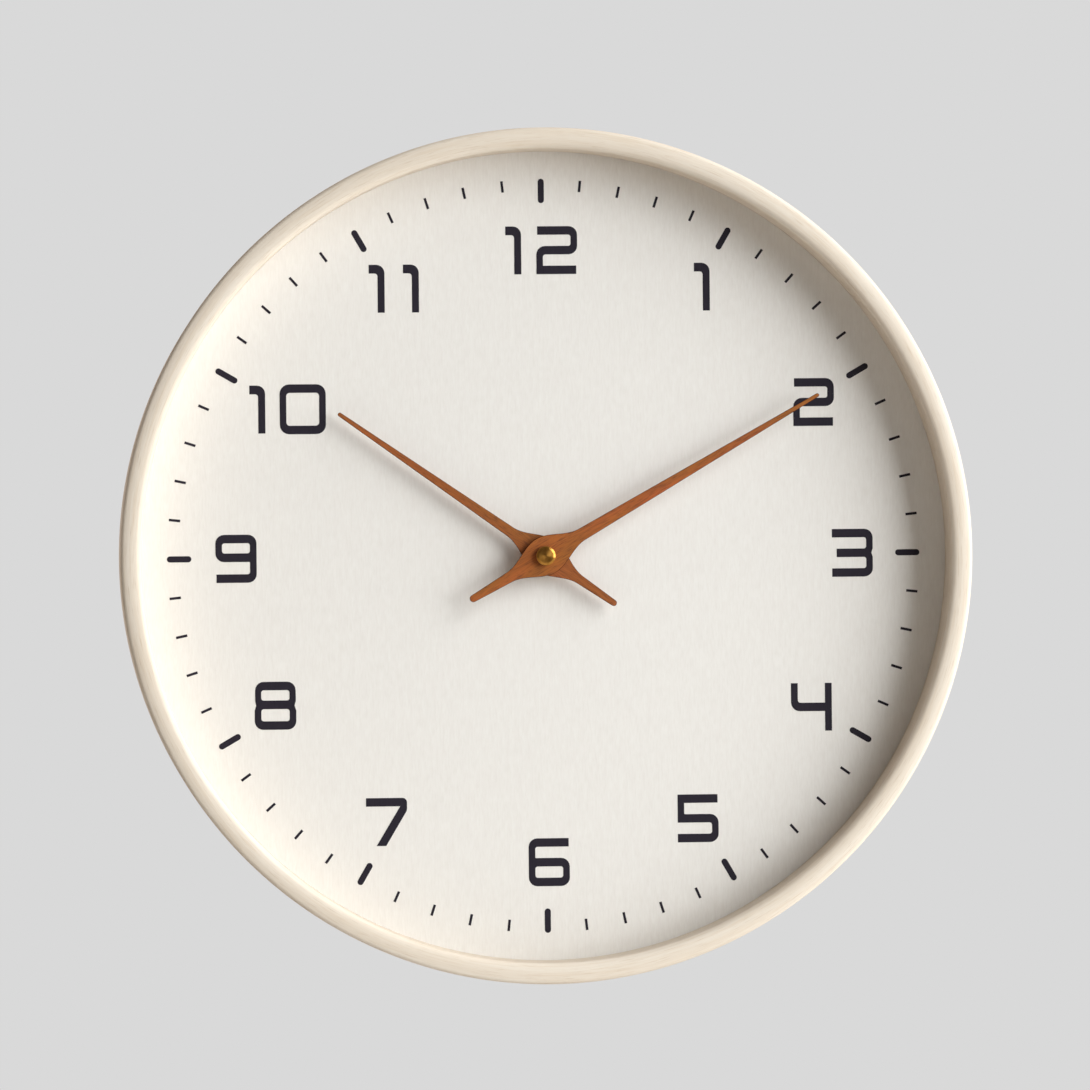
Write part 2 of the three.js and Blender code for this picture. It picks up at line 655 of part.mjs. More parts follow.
function addMotor() {
  const [front, rear] = LAYER.stator;
  const left = ROTOR[0] - 4.6;
  const armRight = COIL.x + 1.7;
  const outline = [
    [left, ROTOR[1] + 4.4],
    [left, ROTOR[1] - 4.6],
    [ROTOR[0] + 3, ROTOR[1] - 4.6],
    [13.2, 1],
    [13.2, COIL.coreBottom],
    [armRight, COIL.coreBottom],
    [armRight, COIL.bottom - 0.8],
    [16.8, COIL.bottom - 0.8],
    [16.8, 3],
    [ROTOR[0] + 6, ROTOR[1] - 2],
    [ROTOR[0] + 7, COIL.top + 0.7],
    [armRight, COIL.top + 0.7],
    [armRight, COIL.coreTop],
    [ROTOR[0] + 7, COIL.coreTop],
    [ROTOR[0] + 6, ROTOR[1] + 4.4],
  ];
  addPiece('stator', plate(outline, front, rear, [circle(ROTOR, 3, 20)]), STEEL);

  const coreFront = COIL.y - 0.55;
  const coreRear = front - LAYER_GAP;
  const core = block(COIL.x - 0.9, COIL.x + 0.9, coreFront, coreRear, COIL.coreBottom, COIL.coreTop);
  addPiece('coil_core', core, STEEL);

  const standUp = (geometry) => geometry.rotateX(Math.PI / 2).translate(COIL.x, COIL.y, 0);
  const flange = 0.8;
  addPiece('coil_bobbin', standUp(turned([
    [COIL.bottom, COIL.bottom + flange, 3.6],
    [COIL.bottom + flange, COIL.top - flange, 1.9],
    [COIL.top - flange, COIL.top, 3.6],
  ], 1.35, 20)), WHITE_PLASTIC);
  const windingBottom = COIL.bottom + flange + LAYER_GAP;
  const windingTop = COIL.top - flange - LAYER_GAP;
  addPiece('coil_winding', standUp(turned([[windingBottom, windingTop, 3]], 1.95, 20)), COPPER);
}

function addElectronics() {
  const front = -12;
  const rear = front + 0.8;
  addPiece('circuit_board', block(-26.2, -12.5, front, rear, -16.3, -4.5), BOARD_GREEN);
  const chipFront = rear + LAYER_GAP;
  addPiece('clock_chip', block(-24.5, -19.5, chipFront, chipFront + 1.2, -11, -6.5), BLACK_PLASTIC);
  const crystal = turned([[-3, 3, 1]], 0, 12).rotateX(Math.PI / 2);
  crystal.translate(-15.5, rear + 1 + LAYER_GAP, -10);
  addPiece('quartz_crystal', crystal, STEEL);
}

// ---------------------------------------------------------------- battery

class ConicalHelix extends THREE.Curve {
  constructor(startRadius, endRadius, height, turns) {
    super();
    Object.assign(this, { startRadius, endRadius, height, turns });
  }

  getPoint(share, target = new THREE.Vector3()) {
    const angle = share * this.turns * 2 * Math.PI;
    const radius = THREE.MathUtils.lerp(this.startRadius, this.endRadius, share);
    return target.set(share * this.height, radius * Math.cos(angle), radius * Math.sin(angle));
  }
}

function addBattery() {
  const cell = lathe([
    [0, BATTERY.left],
    [BATTERY.radius - 0.5, BATTERY.left],
    [BATTERY.radius, BATTERY.left + 0.5],
    [BATTERY.radius, BATTERY.shoulder - 0.5],
    [BATTERY.radius - 0.5, BATTERY.shoulder],
    [2.75, BATTERY.shoulder],
    [2.75, BATTERY.right],
    [0, BATTERY.right],
  ], 20);
  cell.rotateZ(-Math.PI / 2).translate(0, BATTERY.y, BATTERY.z);
  addPiece('battery', cell, BATTERY_SLEEVE);

  const halfContact = 4.5;
  const contact = (left, right) => block(
    left,
    right,
    BATTERY.y - halfContact,
    BATTERY.y + halfContact,
    BATTERY.z - halfContact,
    BATTERY.z + halfContact,
  );
  const contactThickness = 0.4;
  const rightWall = GEAR_ROOM.right - 0.3;
  const leftWall = GEAR_ROOM.left + 0.3;
  addPiece('positive_contact', contact(rightWall - contactThickness, rightWall), STEEL);
  addPiece('negative_contact', contact(leftWall, leftWall + contactThickness), STEEL);

  const wireRadius = 0.25;
  const wire = new THREE.Shape(circle(CENTRE, wireRadius, 6).map(([x, y]) => new THREE.Vector2(x, y)));
  const springStart = leftWall + contactThickness + wireRadius + 0.1;
  const springEnd = BATTERY.left - wireRadius - 0.1;
  const spring = new THREE.ExtrudeGeometry(wire, {
    steps: 20,
    bevelEnabled: false,
    extrudePath: new ConicalHelix(3.4, 1.4, springEnd - springStart, 2.5),
  });
  addPiece('contact_spring', spring.translate(springStart, BATTERY.y, BATTERY.z), STEEL);
}

// ---------------------------------------------------------------- assembly

addRing();
addDial();
addBackPanel();
addBlocksAndScrews();
addHanger();
addFrontCase();
addRearCover();
addTrainPlate();
addMovementFixing();
addHand('hour_hand', HOUR_HAND, HOUR_HAND_FRONT, HOUR_HAND_ANGLE, 3.6);
addHandBush('hour_hand_bush', HOUR_HAND_FRONT, 3.6, 4.8, HOUR_PIPE_RADIUS);
addHand('minute_hand', MINUTE_HAND, MINUTE_HAND_FRONT, MINUTE_HAND_ANGLE, 2.6);
addHandBush('minute_hand_bush', MINUTE_HAND_FRONT, 2.6, 4.2, MINUTE_ARBOR_RADIUS);
addHandNut();
addMotionWork();
addGoingTrain();
addMotor();
addElectronics();
addBattery();

export default clock;
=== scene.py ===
"""Looks of the wall clock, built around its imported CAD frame.

Every piece stands in the part's own frame, in metres: +Z is up, the dial faces -Y, and the
wall plane is y = 0. Bodies are first drawn in millimetres about the dial axis, and so are
all lengths named here, except those of the camera, the lamp and the floor.
"""

import json
import math

import bmesh
import bpy
from mathutils import Matrix, Quaternion, Vector


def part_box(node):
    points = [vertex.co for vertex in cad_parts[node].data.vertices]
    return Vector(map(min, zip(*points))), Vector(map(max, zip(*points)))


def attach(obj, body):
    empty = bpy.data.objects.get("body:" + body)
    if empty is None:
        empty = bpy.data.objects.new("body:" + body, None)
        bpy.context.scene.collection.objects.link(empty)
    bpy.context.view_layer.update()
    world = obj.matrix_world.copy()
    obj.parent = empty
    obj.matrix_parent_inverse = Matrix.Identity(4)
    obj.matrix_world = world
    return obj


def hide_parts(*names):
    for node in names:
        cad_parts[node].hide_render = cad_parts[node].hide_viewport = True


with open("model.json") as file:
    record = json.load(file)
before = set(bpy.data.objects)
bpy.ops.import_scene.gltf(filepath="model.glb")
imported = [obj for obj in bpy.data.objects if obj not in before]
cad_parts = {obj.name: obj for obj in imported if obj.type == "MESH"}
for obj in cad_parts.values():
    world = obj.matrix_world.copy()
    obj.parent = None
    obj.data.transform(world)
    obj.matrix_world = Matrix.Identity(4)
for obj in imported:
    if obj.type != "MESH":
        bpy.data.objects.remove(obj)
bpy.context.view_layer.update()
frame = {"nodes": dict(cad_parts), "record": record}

MM = 0.001


# ---------------------------------------------------------------- places from the frame

def front_of(node):
    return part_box(node)[0].y / MM


def rear_of(node):
    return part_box(node)[1].y / MM


def middle_of(node):
    """Middle of a node across X and Z, about the dial axis."""
    low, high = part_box(node)
    return ((low.x + high.x) / 2 / MM, ((low.z + high.z) / 2 - AXIS_Z) / MM)


ring_low, ring_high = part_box("frame_ring")
AXIS_Z = (ring_low.z + ring_high.z) / 2
RING_RADIUS = (ring_high.x - ring_low.x) / 2 / MM
RING_FRONT = front_of("frame_ring")
LIP_RADIUS = 142.5
APEX_RADIUS = 146.6
FACE_ROUNDING = 11.0
CORNER_ROUNDING = 1.6
LIP_ROUNDING = 2.5
REAR_ROUNDING = 0.8
RABBET_CHAMFER = 0.2
# The bent ring is a little narrower sideways than it is high
RING_NARROWING = 0.9965
RABBET_RADIUS = 145.2
DIAL_FRONT = front_of("dial_face")
# Clear space between pieces that rest on one another
FIT = 0.05
CENTRE = (0.0, 0.0)


# ---------------------------------------------------------------- outlines

def polar(radius, degrees, centre=CENTRE):
    angle = math.radians(degrees)
    return (centre[0] + radius * math.cos(angle), centre[1] + radius * math.sin(angle))


def clock_place(radius, minutes):
    """A place on the dial at so many minutes past twelve."""
    return polar(radius, 90 - 6 * minutes)


def arc(centre, radius, start, end, steps):
    return [polar(radius, start + (end - start) * step / steps, centre) for step in range(steps + 1)]


def circle(centre, radius, steps=48):
    return arc(centre, radius, 0, 360, steps)[:-1]


def rounded(corners, steps=5):
    """A closed outline from (x, z) corners; a third number rounds that corner."""
    outline = []
    for index, corner in enumerate(corners):
        point = Vector(corner[:2])
        if len(corner) == 2:
            outline.append(tuple(point))
            continue
        radius = corner[2]
        before = (Vector(corners[index - 1][:2]) - point).normalized()
        after = (Vector(corners[(index + 1) % len(corners)][:2]) - point).normalized()
        half = before.angle(after) / 2
        centre = point + (before + after).normalized() * radius / math.sin(half)
        first = point + before * radius / math.tan(half) - centre
        turn = first.angle_signed(point + after * radius / math.tan(half) - centre)
        start = math.atan2(first.y, first.x)
        for step in range(steps + 1):
            angle = start - turn * step / steps
            outline.append((centre.x + radius * math.cos(angle), centre.y + radius * math.sin(angle)))
    return outline


def rectangle(left, bottom, right, top, radius=0.0, steps=5):
    corners = [(left, bottom), (right, bottom), (right, top), (left, top)]
    if radius == 0:
        return corners
    return rounded([(x, z, radius) for x, z in corners], steps)


def capsule(length, width, steps=10):
    """A stroke with round ends, centred, standing upright."""
    reach = (length - width) / 2
    return arc((0, reach), width / 2, 0, 180, steps) + arc((0, -reach), width / 2, 180, 360, steps)


def placed(outline, at=CENTRE, clockwise=0.0, scale=1.0):
    angle = math.radians(clockwise)
    cos, sin = math.cos(angle) * scale, math.sin(angle) * scale
    return [(at[0] + x * cos + z * sin, at[1] - x * sin + z * cos) for x, z in outline]


def signed_area(outline):
    pairs = zip(outline, outline[1:] + outline[:1])
    return sum(x0 * z1 - x1 * z0 for (x0, z0), (x1, z1) in pairs) / 2


def wound(outline, anticlockwise):
    return outline if (signed_area(outline) > 0) == anticlockwise else outline[::-1]


# ---------------------------------------------------------------- bodies

def lathe(profile, segments=64, centre=CENTRE, closed=False):
    """A body turned about Y, from (radius, y) points; a closed profile leaves a bore."""
    body = bmesh.new()
    rings = []
    for radius, y in profile:
        places = [centre] if radius == 0 else circle(centre, radius, segments)
        rings.append([body.verts.new((x, y, z)) for x, z in places])
    following = rings[1:] + rings[:1] if closed else rings[1:]
    for first, second in zip(rings, following):
        for step in range(segments):
            after = (step + 1) % segments
            corners = [first[step % len(first)], first[after % len(first)],
                       second[after % len(second)], second[step % len(second)]]
            body.faces.new(list(dict.fromkeys(corners)))
    bmesh.ops.recalc_face_normals(body, faces=body.faces)
    return body


def body_of_curve(curve):
    """The body that a curve makes; the curve is used up."""
    holder = bpy.data.objects.new(curve.name, curve)
    bpy.context.scene.collection.objects.link(holder)
    shape = holder.evaluated_get(bpy.context.evaluated_depsgraph_get())
    mesh = bpy.data.meshes.new_from_object(shape)
    body = bmesh.new()
    body.from_mesh(mesh)
    bpy.data.objects.remove(holder)
    bpy.data.curves.remove(curve)
    bpy.data.meshes.remove(mesh)
    return body


def plate(outlines, front, rear, edge=0.0, holes=()):
    """A flat body between two planes across Y, with its rims rounded by edge."""
    curve = bpy.data.curves.new("outline", "CURVE")
    curve.dimensions = "2D"
    curve.fill_mode = "BOTH"
    curve.extrude = (rear - front) / 2 - edge
    curve.bevel_depth = edge
    curve.bevel_resolution = 2
    curve.offset = -edge
    loops = [wound(outline, True) for outline in outlines] + [wound(hole, False) for hole in holes]
    for loop in loops:
        spline = curve.splines.new("POLY")
        spline.points.add(len(loop) - 1)
        for point, (x, z) in zip(spline.points, loop):
            point.co = (x, z, 0, 1)
        spline.use_cyclic_u = True
    body = body_of_curve(curve)
    upright = Matrix.Translation((0, (front + rear) / 2, 0)) @ Matrix.Rotation(math.pi / 2, 4, "X")
    bmesh.ops.transform(body, matrix=upright, verts=body.verts)
    bmesh.ops.remove_doubles(body, verts=body.verts, dist=1e-4)
    bmesh.ops.recalc_face_normals(body, faces=body.faces)
    return body


def sweep(path, radius):
    """A round wire along a path of (x, y, z) points."""
    curve = bpy.data.curves.new("wire", "CURVE")
    curve.dimensions = "3D"
    curve.bevel_depth = radius
    curve.bevel_resolution = 3
    curve.use_fill_caps = True
    spline = curve.splines.new("POLY")
    spline.points.add(len(path) - 1)
    for point, place in zip(spline.points, path):
        point.co = (*place, 1)
    return body_of_curve(curve)


def joined(*bodies):
    """Several bodies as one mesh; the first keeps its faces' material numbers."""
    whole = bodies[0]
    for part in bodies[1:]:
        mesh = bpy.data.meshes.new("part")
        part.to_mesh(mesh)
        part.free()
        whole.from_mesh(mesh)
        bpy.data.meshes.remove(mesh)
    return whole


def moved(body, matrix):
    bmesh.ops.transform(body, matrix=matrix, verts=body.verts)
    return body


def shifted(body, x=0.0, y=0.0, z=0.0):
    return moved(body, Matrix.Translation((x, y, z)))


def carved(body, tool):
    """The body with the tool's shape taken out of it."""
    objects = []
    for shape in (body, tool):
        mesh = bpy.data.meshes.new("carving")
        shape.to_mesh(mesh)
        shape.free()
        holder = bpy.data.objects.new("carving", mesh)
        bpy.context.scene.collection.objects.link(holder)
        objects.append(holder)
    cutting = objects[0].modifiers.new("cut", "BOOLEAN")
    cutting.operation = "DIFFERENCE"
    cutting.solver = "EXACT"
    cutting.object = objects[1]
    shape = objects[0].evaluated_get(bpy.context.evaluated_depsgraph_get())
    mesh = bpy.data.meshes.new_from_object(shape)
    result = bmesh.new()
    result.from_mesh(mesh)
    for holder in objects:
        data = holder.data
        bpy.data.objects.remove(holder)
        bpy.data.meshes.remove(data)
    bpy.data.meshes.remove(mesh)
    return result


# Edges that turn by more than this stay sharp
SHARP = math.radians(32)


def add_piece(name, body, rides_on, materials, stands_for=()):
    """Turns a body in millimetres about the dial axis into a piece of the clock."""
    for face in body.faces:
        face.smooth = True
    for edge in body.edges:
        edge.smooth = len(edge.link_faces) == 2 and edge.calc_face_angle(0) < SHARP
    to_part_frame = Matrix.Translation((0, 0, AXIS_Z)) @ Matrix.Scale(MM, 4)
    bmesh.ops.transform(body, matrix=to_part_frame, verts=body.verts)
    mesh = bpy.data.meshes.new(name)
    body.to_mesh(mesh)
    body.free()
    for material in materials:
        mesh.materials.append(material)
    piece = bpy.data.objects.new(name, mesh)
    bpy.context.scene.collection.objects.link(piece)
    flat_faces = piece.modifiers.new("flat_faces", "WEIGHTED_NORMAL")
    flat_faces.keep_sharp = True
    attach(piece, rides_on)
    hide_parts(*stands_for)
    return piece


# ---------------------------------------------------------------- shader helpers

def node(tree, kind, inputs=None, **settings):
    """Adds a shader node; an input is a value, or an output to link from."""
    made = tree.nodes.new("ShaderNode" + kind)
    for key, value in settings.items():
        setattr(made, key, value)
    for key, value in (inputs or {}).items():
        if isinstance(value, bpy.types.NodeSocket):
            tree.links.new(value, made.inputs[key])
        else:
            made.inputs[key].default_value = value
    return made


def srgb(red, green, blue):
    """A linear colour from display values between 0 and 255."""
    def linear(value):
        share = value / 255
        return share / 12.92 if share <= 0.04045 else ((share + 0.055) / 1.055) ** 2.4
    return (linear(red), linear(green), linear(blue), 1.0)


def new_material(name, **surface):
    """An empty material with one surface shader, and that shader's tree."""
    material = bpy.data.materials.new(name)
    material.use_nodes = True
    tree = material.node_tree
    shader = tree.nodes["Principled BSDF"]
    for key, value in surface.items():
        shader.inputs[key.replace("_", " ")].default_value = value
    return material, tree, shader


def dial_coordinates(tree):
    """Millimetres about the dial axis."""
    place = node(tree, "TexCoord").outputs["Object"]
    return node(tree, "VectorMath", {0: place, 1: (1 / MM,) * 3, 2: (0, 0, -AXIS_Z / MM)},
                operation="MULTIPLY_ADD").outputs[0]


def scaled(tree, place, along):
    return node(tree, "VectorMath", {0: place, 1: along}, operation="MULTIPLY").outputs[0]


def axis_distance(tree, place, narrowing=1.0):
    """Distance from the dial axis, before the piece was narrowed sideways."""
    flat = scaled(tree, place, (1 / narrowing, 0, 1))
    return node(tree, "VectorMath", {0: flat}, operation="LENGTH").outputs["Value"]


def stretched(tree, place, along, clockwise=0.0):
    """Coordinates turned by an angle about Y, and then scaled by along."""
    turned = node(tree, "VectorRotate", {"Vector": place, "Angle": math.radians(-clockwise)},
                  rotation_type="Y_AXIS").outputs[0]
    return scaled(tree, turned, along)


def noise(tree, place, scale=1.0, detail=2.0, roughness=0.5, **more):
    inputs = {"Vector": place, "Scale": scale, "Detail": detail, "Roughness": roughness, **more}
    dimensions = "4D" if "W" in more else "3D"
    return node(tree, "TexNoise", inputs, noise_dimensions=dimensions).outputs["Fac"]


def blend(tree, amount, first, second):
    """A colour between two, by an amount from 0 to 1."""
    return node(tree, "Mix", {0: amount, 6: first, 7: second}, data_type="RGBA").outputs[2]


def between(tree, value, low, high, out_low=0.0, out_high=1.0):
    """Maps a value from one range to another, and keeps it inside that one."""
    inputs = {"Value": value, "From Min": low, "From Max": high, "To Min": out_low, "To Max": out_high}
    return node(tree, "MapRange", inputs).outputs[0]


def math_node(tree, operation, first, second):
    return node(tree, "Math", {0: first, 1: second}, operation=operation).outputs[0]


def bump(tree, shader, height, strength, depth):
    relief = node(tree, "Bump", {"Height": height, "Strength": strength, "Distance": depth * MM})
    tree.links.new(relief.outputs[0], shader.inputs["Normal"])


def colour(tree, shader, socket):
    tree.links.new(socket, shader.inputs["Base Color"])


def roughness(tree, shader, socket):
    tree.links.new(socket, shader.inputs["Roughness"])


# ---------------------------------------------------------------- materials

# Painted shade on the wall inside the ring: how far its wood goes towards a darker, warmer brown, and how far
# that change reaches
INNER_WALL_SHADE = 0.3
WALL_SHADE_TINT = srgb(176, 150, 120)
WALL_SHADE_FADE = (LIP_RADIUS + 0.02, LIP_RADIUS + 0.3)


def ring_wood():
    """Pale birch bent into a ring, with its grain round the dial axis and painted shade darkening its inner
    wall.
    """
    material, tree, shader = new_material("ring_wood", Specular_IOR_Level=0.35)
    place = dial_coordinates(tree)
    radius = axis_distance(tree, place, RING_NARROWING)

    def grain(along, across, detail):
        spread = scaled(tree, place, (along, across, along))
        return noise(tree, spread, detail=detail, W=math_node(tree, "MULTIPLY", radius, across))

    bands = grain(0.012, 0.35, 4)
    streaks = grain(0.05, 1.6, 3)
    flecks = grain(0.16, 5.0, 2)
    figure = blend(tree, between(tree, bands, 0.3, 0.7), srgb(239, 230, 216), srgb(231, 219, 202))
    streaked = blend(tree, between(tree, streaks, 0.48, 0.74, 0, 0.45), figure, srgb(221, 203, 178))
    flecked = blend(tree, between(tree, flecks, 0.56, 0.74, 0, 0.5), streaked, srgb(196, 172, 141))
    # Painted shade: the wall inside the ring darkens towards a warmer brown
    wall_shade_share = between(tree, radius, *WALL_SHADE_FADE, INNER_WALL_SHADE, 0)
    colour(tree, shader, blend(tree, wall_shade_share, flecked, WALL_SHADE_TINT))
    roughness(tree, shader, between(tree, streaks, 0.3, 0.7, 0.42, 0.58))
    bump(tree, shader, math_node(tree, "ADD", streaks, flecks), 0.25, 0.12)
    return material


def hand_wood(name, clockwise, reddish, yellowish):
    """Oiled brown veneer, with its grain along a hand that lies at that angle."""
    material, tree, shader = new_material(name, Specular_IOR_Level=0.4)
    place = dial_coordinates(tree)
    pores = noise(tree, stretched(tree, place, (4.2, 4.2, 0.3), clockwise), detail=3)
    streaks = noise(tree, stretched(tree, place, (1.0, 1.0, 0.03), clockwise), detail=3)
    patches = noise(tree, stretched(tree, place, (0.12, 0.12, 0.035), clockwise), detail=1)
    base = blend(tree, between(tree, patches, 0.35, 0.65), reddish, yellowish)
    streaked = blend(tree, between(tree, streaks, 0.4, 0.7, 0, 0.45), base, srgb(124, 66, 28))
    grained = blend(tree, between(tree, pores, 0.48, 0.7, 0, 0.7), streaked, srgb(78, 38, 18))
    colour(tree, shader, grained)
    roughness(tree, shader, between(tree, pores, 0.3, 0.7, 0.42, 0.6))
    bump(tree, shader, pores, 0.3, 0.06)
    return material


def hand_edge():
    """Painted edge shade: a darker brown on the side and bevel faces of the hands' veneer."""
    material, tree, shader = new_material("hand_edge", Specular_IOR_Level=0.1)
    place = dial_coordinates(tree)
    edge_shade_mottle = noise(tree, place, 1.4, 3)
    # Painted shade on the hands' edges, in two dark browns
    colour(tree, shader, blend(tree, between(tree, edge_shade_mottle, 0.35, 0.7), srgb(86, 42, 22), srgb(56, 28, 16)))
    roughness(tree, shader, between(tree, edge_shade_mottle, 0.3, 0.7, 0.75, 0.88))
    bump(tree, shader, noise(tree, place, 5, 2), 0.2, 0.05)
    return material


def dial_linen():
    """Off-white dial sheet with a fine upright thread texture."""
    material, tree, shader = new_material("dial_linen", Specular_IOR_Level=0.2)
    place = dial_coordinates(tree)
    threads = noise(tree, stretched(tree, place, (1.7, 1, 0.3)), detail=2)
    slubs = noise(tree, stretched(tree, place, (0.7, 1, 0.12)), detail=3)
    cross = noise(tree, stretched(tree, place, (0.3, 1, 2.6)), detail=1)
    woven = math_node(tree, "ADD", threads, math_node(tree, "MULTIPLY", cross, 0.4))
    base = blend(tree, between(tree, slubs, 0.3, 0.7), srgb(242, 241, 237), srgb(238, 236, 232))
    colour(tree, shader, blend(tree, between(tree, threads, 0.4, 0.75, 0, 0.4), base, srgb(228, 226, 220)))
    roughness(tree, shader, between(tree, threads, 0.3, 0.7, 0.78, 0.92))
    bump(tree, shader, woven, 0.18, 0.07)
    return material


def dial_ink():
    material, tree, shader = new_material("dial_ink", Specular_IOR_Level=0.25)
    place = dial_coordinates(tree)
    threads = noise(tree, stretched(tree, place, (2.2, 1, 0.28)), detail=2)
    colour(tree, shader, blend(tree, between(tree, threads, 0.35, 0.7), srgb(30, 25, 38), srgb(39, 34, 46)))
    roughness(tree, shader, between(tree, threads, 0.3, 0.7, 0.6, 0.75))
    bump(tree, shader, threads, 0.2, 0.06)
    return material


def turned_brass(name, light, dark, surface_roughness):
    """Brass from a lathe: fine rings about the dial axis and a little tarnish."""
    material, tree, shader = new_material(name, Metallic=1.0, Anisotropic=0.75, Anisotropic_Rotation=0.25)
    place = dial_coordinates(tree)
    radius = axis_distance(tree, place)
    rings = noise(tree, node(tree, "CombineXYZ", {0: radius}).outputs[0], 9, 2)
    tarnish = noise(tree, place, 0.7, 3)
    colour(tree, shader, blend(tree, between(tree, tarnish, 0.35, 0.7), light, dark))
    roughness(tree, shader, between(tree, rings, 0.3, 0.7, surface_roughness, surface_roughness + 0.1))
    bump(tree, shader, rings, 0.35, 0.03)
    tangent = node(tree, "Tangent", direction_type="RADIAL", axis="Y")
    tree.links.new(tangent.outputs[0], shader.inputs["Tangent"])
    return material


def zinc_steel():
    material, tree, shader = new_material("zinc_steel", Metallic=1.0)
    place = dial_coordinates(tree)
    brushed = noise(tree, stretched(tree, place, (0.25, 0.25, 6)), detail=2)
    spangle = noise(tree, place, 0.35, 4)
    light, dark = srgb(198, 201, 204), srgb(170, 174, 180)
    colour(tree, shader, blend(tree, between(tree, spangle, 0.35, 0.65), light, dark))
    roughness(tree, shader, between(tree, brushed, 0.3, 0.7, 0.28, 0.42))
    bump(tree, shader, brushed, 0.15, 0.02)
    return material


def fibreboard():
    material, tree, shader = new_material("fibreboard", Specular_IOR_Level=0.2)
    place = dial_coordinates(tree)
    fibres = noise(tree, stretched(tree, place, (0.8, 0.8, 2.4), 30), detail=4, roughness=0.7)
    specks = noise(tree, place, 3.2, 3, 0.7)
    mottle = noise(tree, place, 0.02, 2)
    base = blend(tree, between(tree, mottle, 0.3, 0.7), srgb(178, 148, 110), srgb(170, 139, 101))
    fibrous = blend(tree, between(tree, fibres, 0.42, 0.7, 0, 0.8), base, srgb(206, 180, 144))
    colour(tree, shader, blend(tree, between(tree, specks, 0.54, 0.7, 0, 0.75), fibrous, srgb(116, 86, 58)))
    roughness(tree, shader, between(tree, fibres, 0.3, 0.7, 0.75, 0.9))
    bump(tree, shader, math_node(tree, "ADD", fibres, specks), 0.3, 0.1)
    return material


def block_wood():
    material, tree, shader = new_material("block_wood", Specular_IOR_Level=0.2)
    place = dial_coordinates(tree)
    rings = noise(tree, stretched(tree, place, (0.06, 0.9, 0.9)), detail=3)
    light, dark = srgb(224, 196, 152), srgb(190, 152, 104)
    colour(tree, shader, blend(tree, between(tree, rings, 0.35, 0.68), light, dark))
    roughness(tree, shader, between(tree, rings, 0.3, 0.7, 0.7, 0.85))
    bump(tree, shader, rings, 0.3, 0.15)
    return material


def moulded_plastic(name, light, dark, smooth, rough):
    """Moulded plastic with a fine spark-eroded grain."""
    material, tree, shader = new_material(name, Specular_IOR_Level=0.5)
    place = dial_coordinates(tree)
    grain = noise(tree, place, 5, 3, 0.6)
    flow = noise(tree, place, 0.12, 2)
    colour(tree, shader, blend(tree, between(tree, flow, 0.35, 0.65), light, dark))
    roughness(tree, shader, between(tree, grain, 0.3, 0.7, smooth, rough))
    bump(tree, shader, grain, 0.25, 0.04)
    return material


def rubber():
    material, tree, shader = new_material("rubber", Specular_IOR_Level=0.3)
    grain = noise(tree, dial_coordinates(tree), 2.4, 4, 0.6)
    colour(tree, shader, blend(tree, grain, srgb(30, 30, 31), srgb(50, 49, 48)))
    roughness(tree, shader, between(tree, grain, 0.3, 0.7, 0.75, 0.92))
    bump(tree, shader, grain, 0.3, 0.05)
    return material


def copper_wire():
    """Turns of fine enamelled wire, stacked up Z, with painted shade in the grooves between turns and lighter
    colour on their crests.
    """
    material, tree, shader = new_material("copper_wire", Metallic=1.0)
    place = dial_coordinates(tree)
    turns = node(tree, "TexWave", {"Vector": place, "Scale": 1.6, "Distortion": 0.4},
                 wave_type="BANDS", bands_direction="Z").outputs["Fac"]
    # Painted shade: darker in the grooves between turns, lighter on the crests
    colour(tree, shader, blend(tree, turns, srgb(120, 58, 34), srgb(206, 118, 70)))
    roughness(tree, shader, between(tree, turns, 0, 1, 0.45, 0.3))
    bump(tree, shader, turns, 0.8, 0.1)
    return material


def circuit_laminate():
    material, tree, shader = new_material("circuit_laminate", Specular_IOR_Level=0.5)
    place = dial_coordinates(tree)
    cells = node(tree, "TexVoronoi", {"Vector": place, "Scale": 0.45}, feature="DISTANCE_TO_EDGE",
                 distance="MANHATTAN").outputs["Distance"]
    tracks = between(tree, cells, 0.03, 0.08, 1, 0)
    colour(tree, shader, blend(tree, tracks, srgb(34, 96, 62), srgb(74, 138, 92)))
    roughness(tree, shader, between(tree, cells, 0, 0.4, 0.35, 0.5))
    bump(tree, shader, tracks, 0.4, 0.05)
    return material


def battery_sleeve():
    """Plain cell sleeve: a dark body and a light band at the positive end."""
    material, tree, shader = new_material("battery_sleeve", Specular_IOR_Level=0.6)
    place = dial_coordinates(tree)
    along = node(tree, "SeparateXYZ", {0: place}).outputs[0]
    band_start = middle_of("battery")[0] + 11
    band = between(tree, along, band_start, band_start + 0.3)
    scuffs = noise(tree, stretched(tree, place, (0.4, 3, 3)), detail=3)
    body = blend(tree, between(tree, scuffs, 0.45, 0.75), srgb(38, 62, 68), srgb(44, 70, 75))
    colour(tree, shader, blend(tree, band, body, srgb(196, 170, 112)))
    roughness(tree, shader, between(tree, scuffs, 0.3, 0.7, 0.22, 0.38))
    bump(tree, shader, scuffs, 0.06, 0.02)
    return material


def sintered_magnet():
    material, tree, shader = new_material("sintered_magnet", Metallic=0.7)
    grain = noise(tree, dial_coordinates(tree), 4, 4, 0.7)
    colour(tree, shader, blend(tree, grain, srgb(70, 72, 76), srgb(110, 112, 116)))
    roughness(tree, shader, between(tree, grain, 0.3, 0.7, 0.4, 0.6))
    bump(tree, shader, grain, 0.3, 0.04)
    return material


HOUR_HAND_ANGLE = 305
MINUTE_HAND_ANGLE = 60

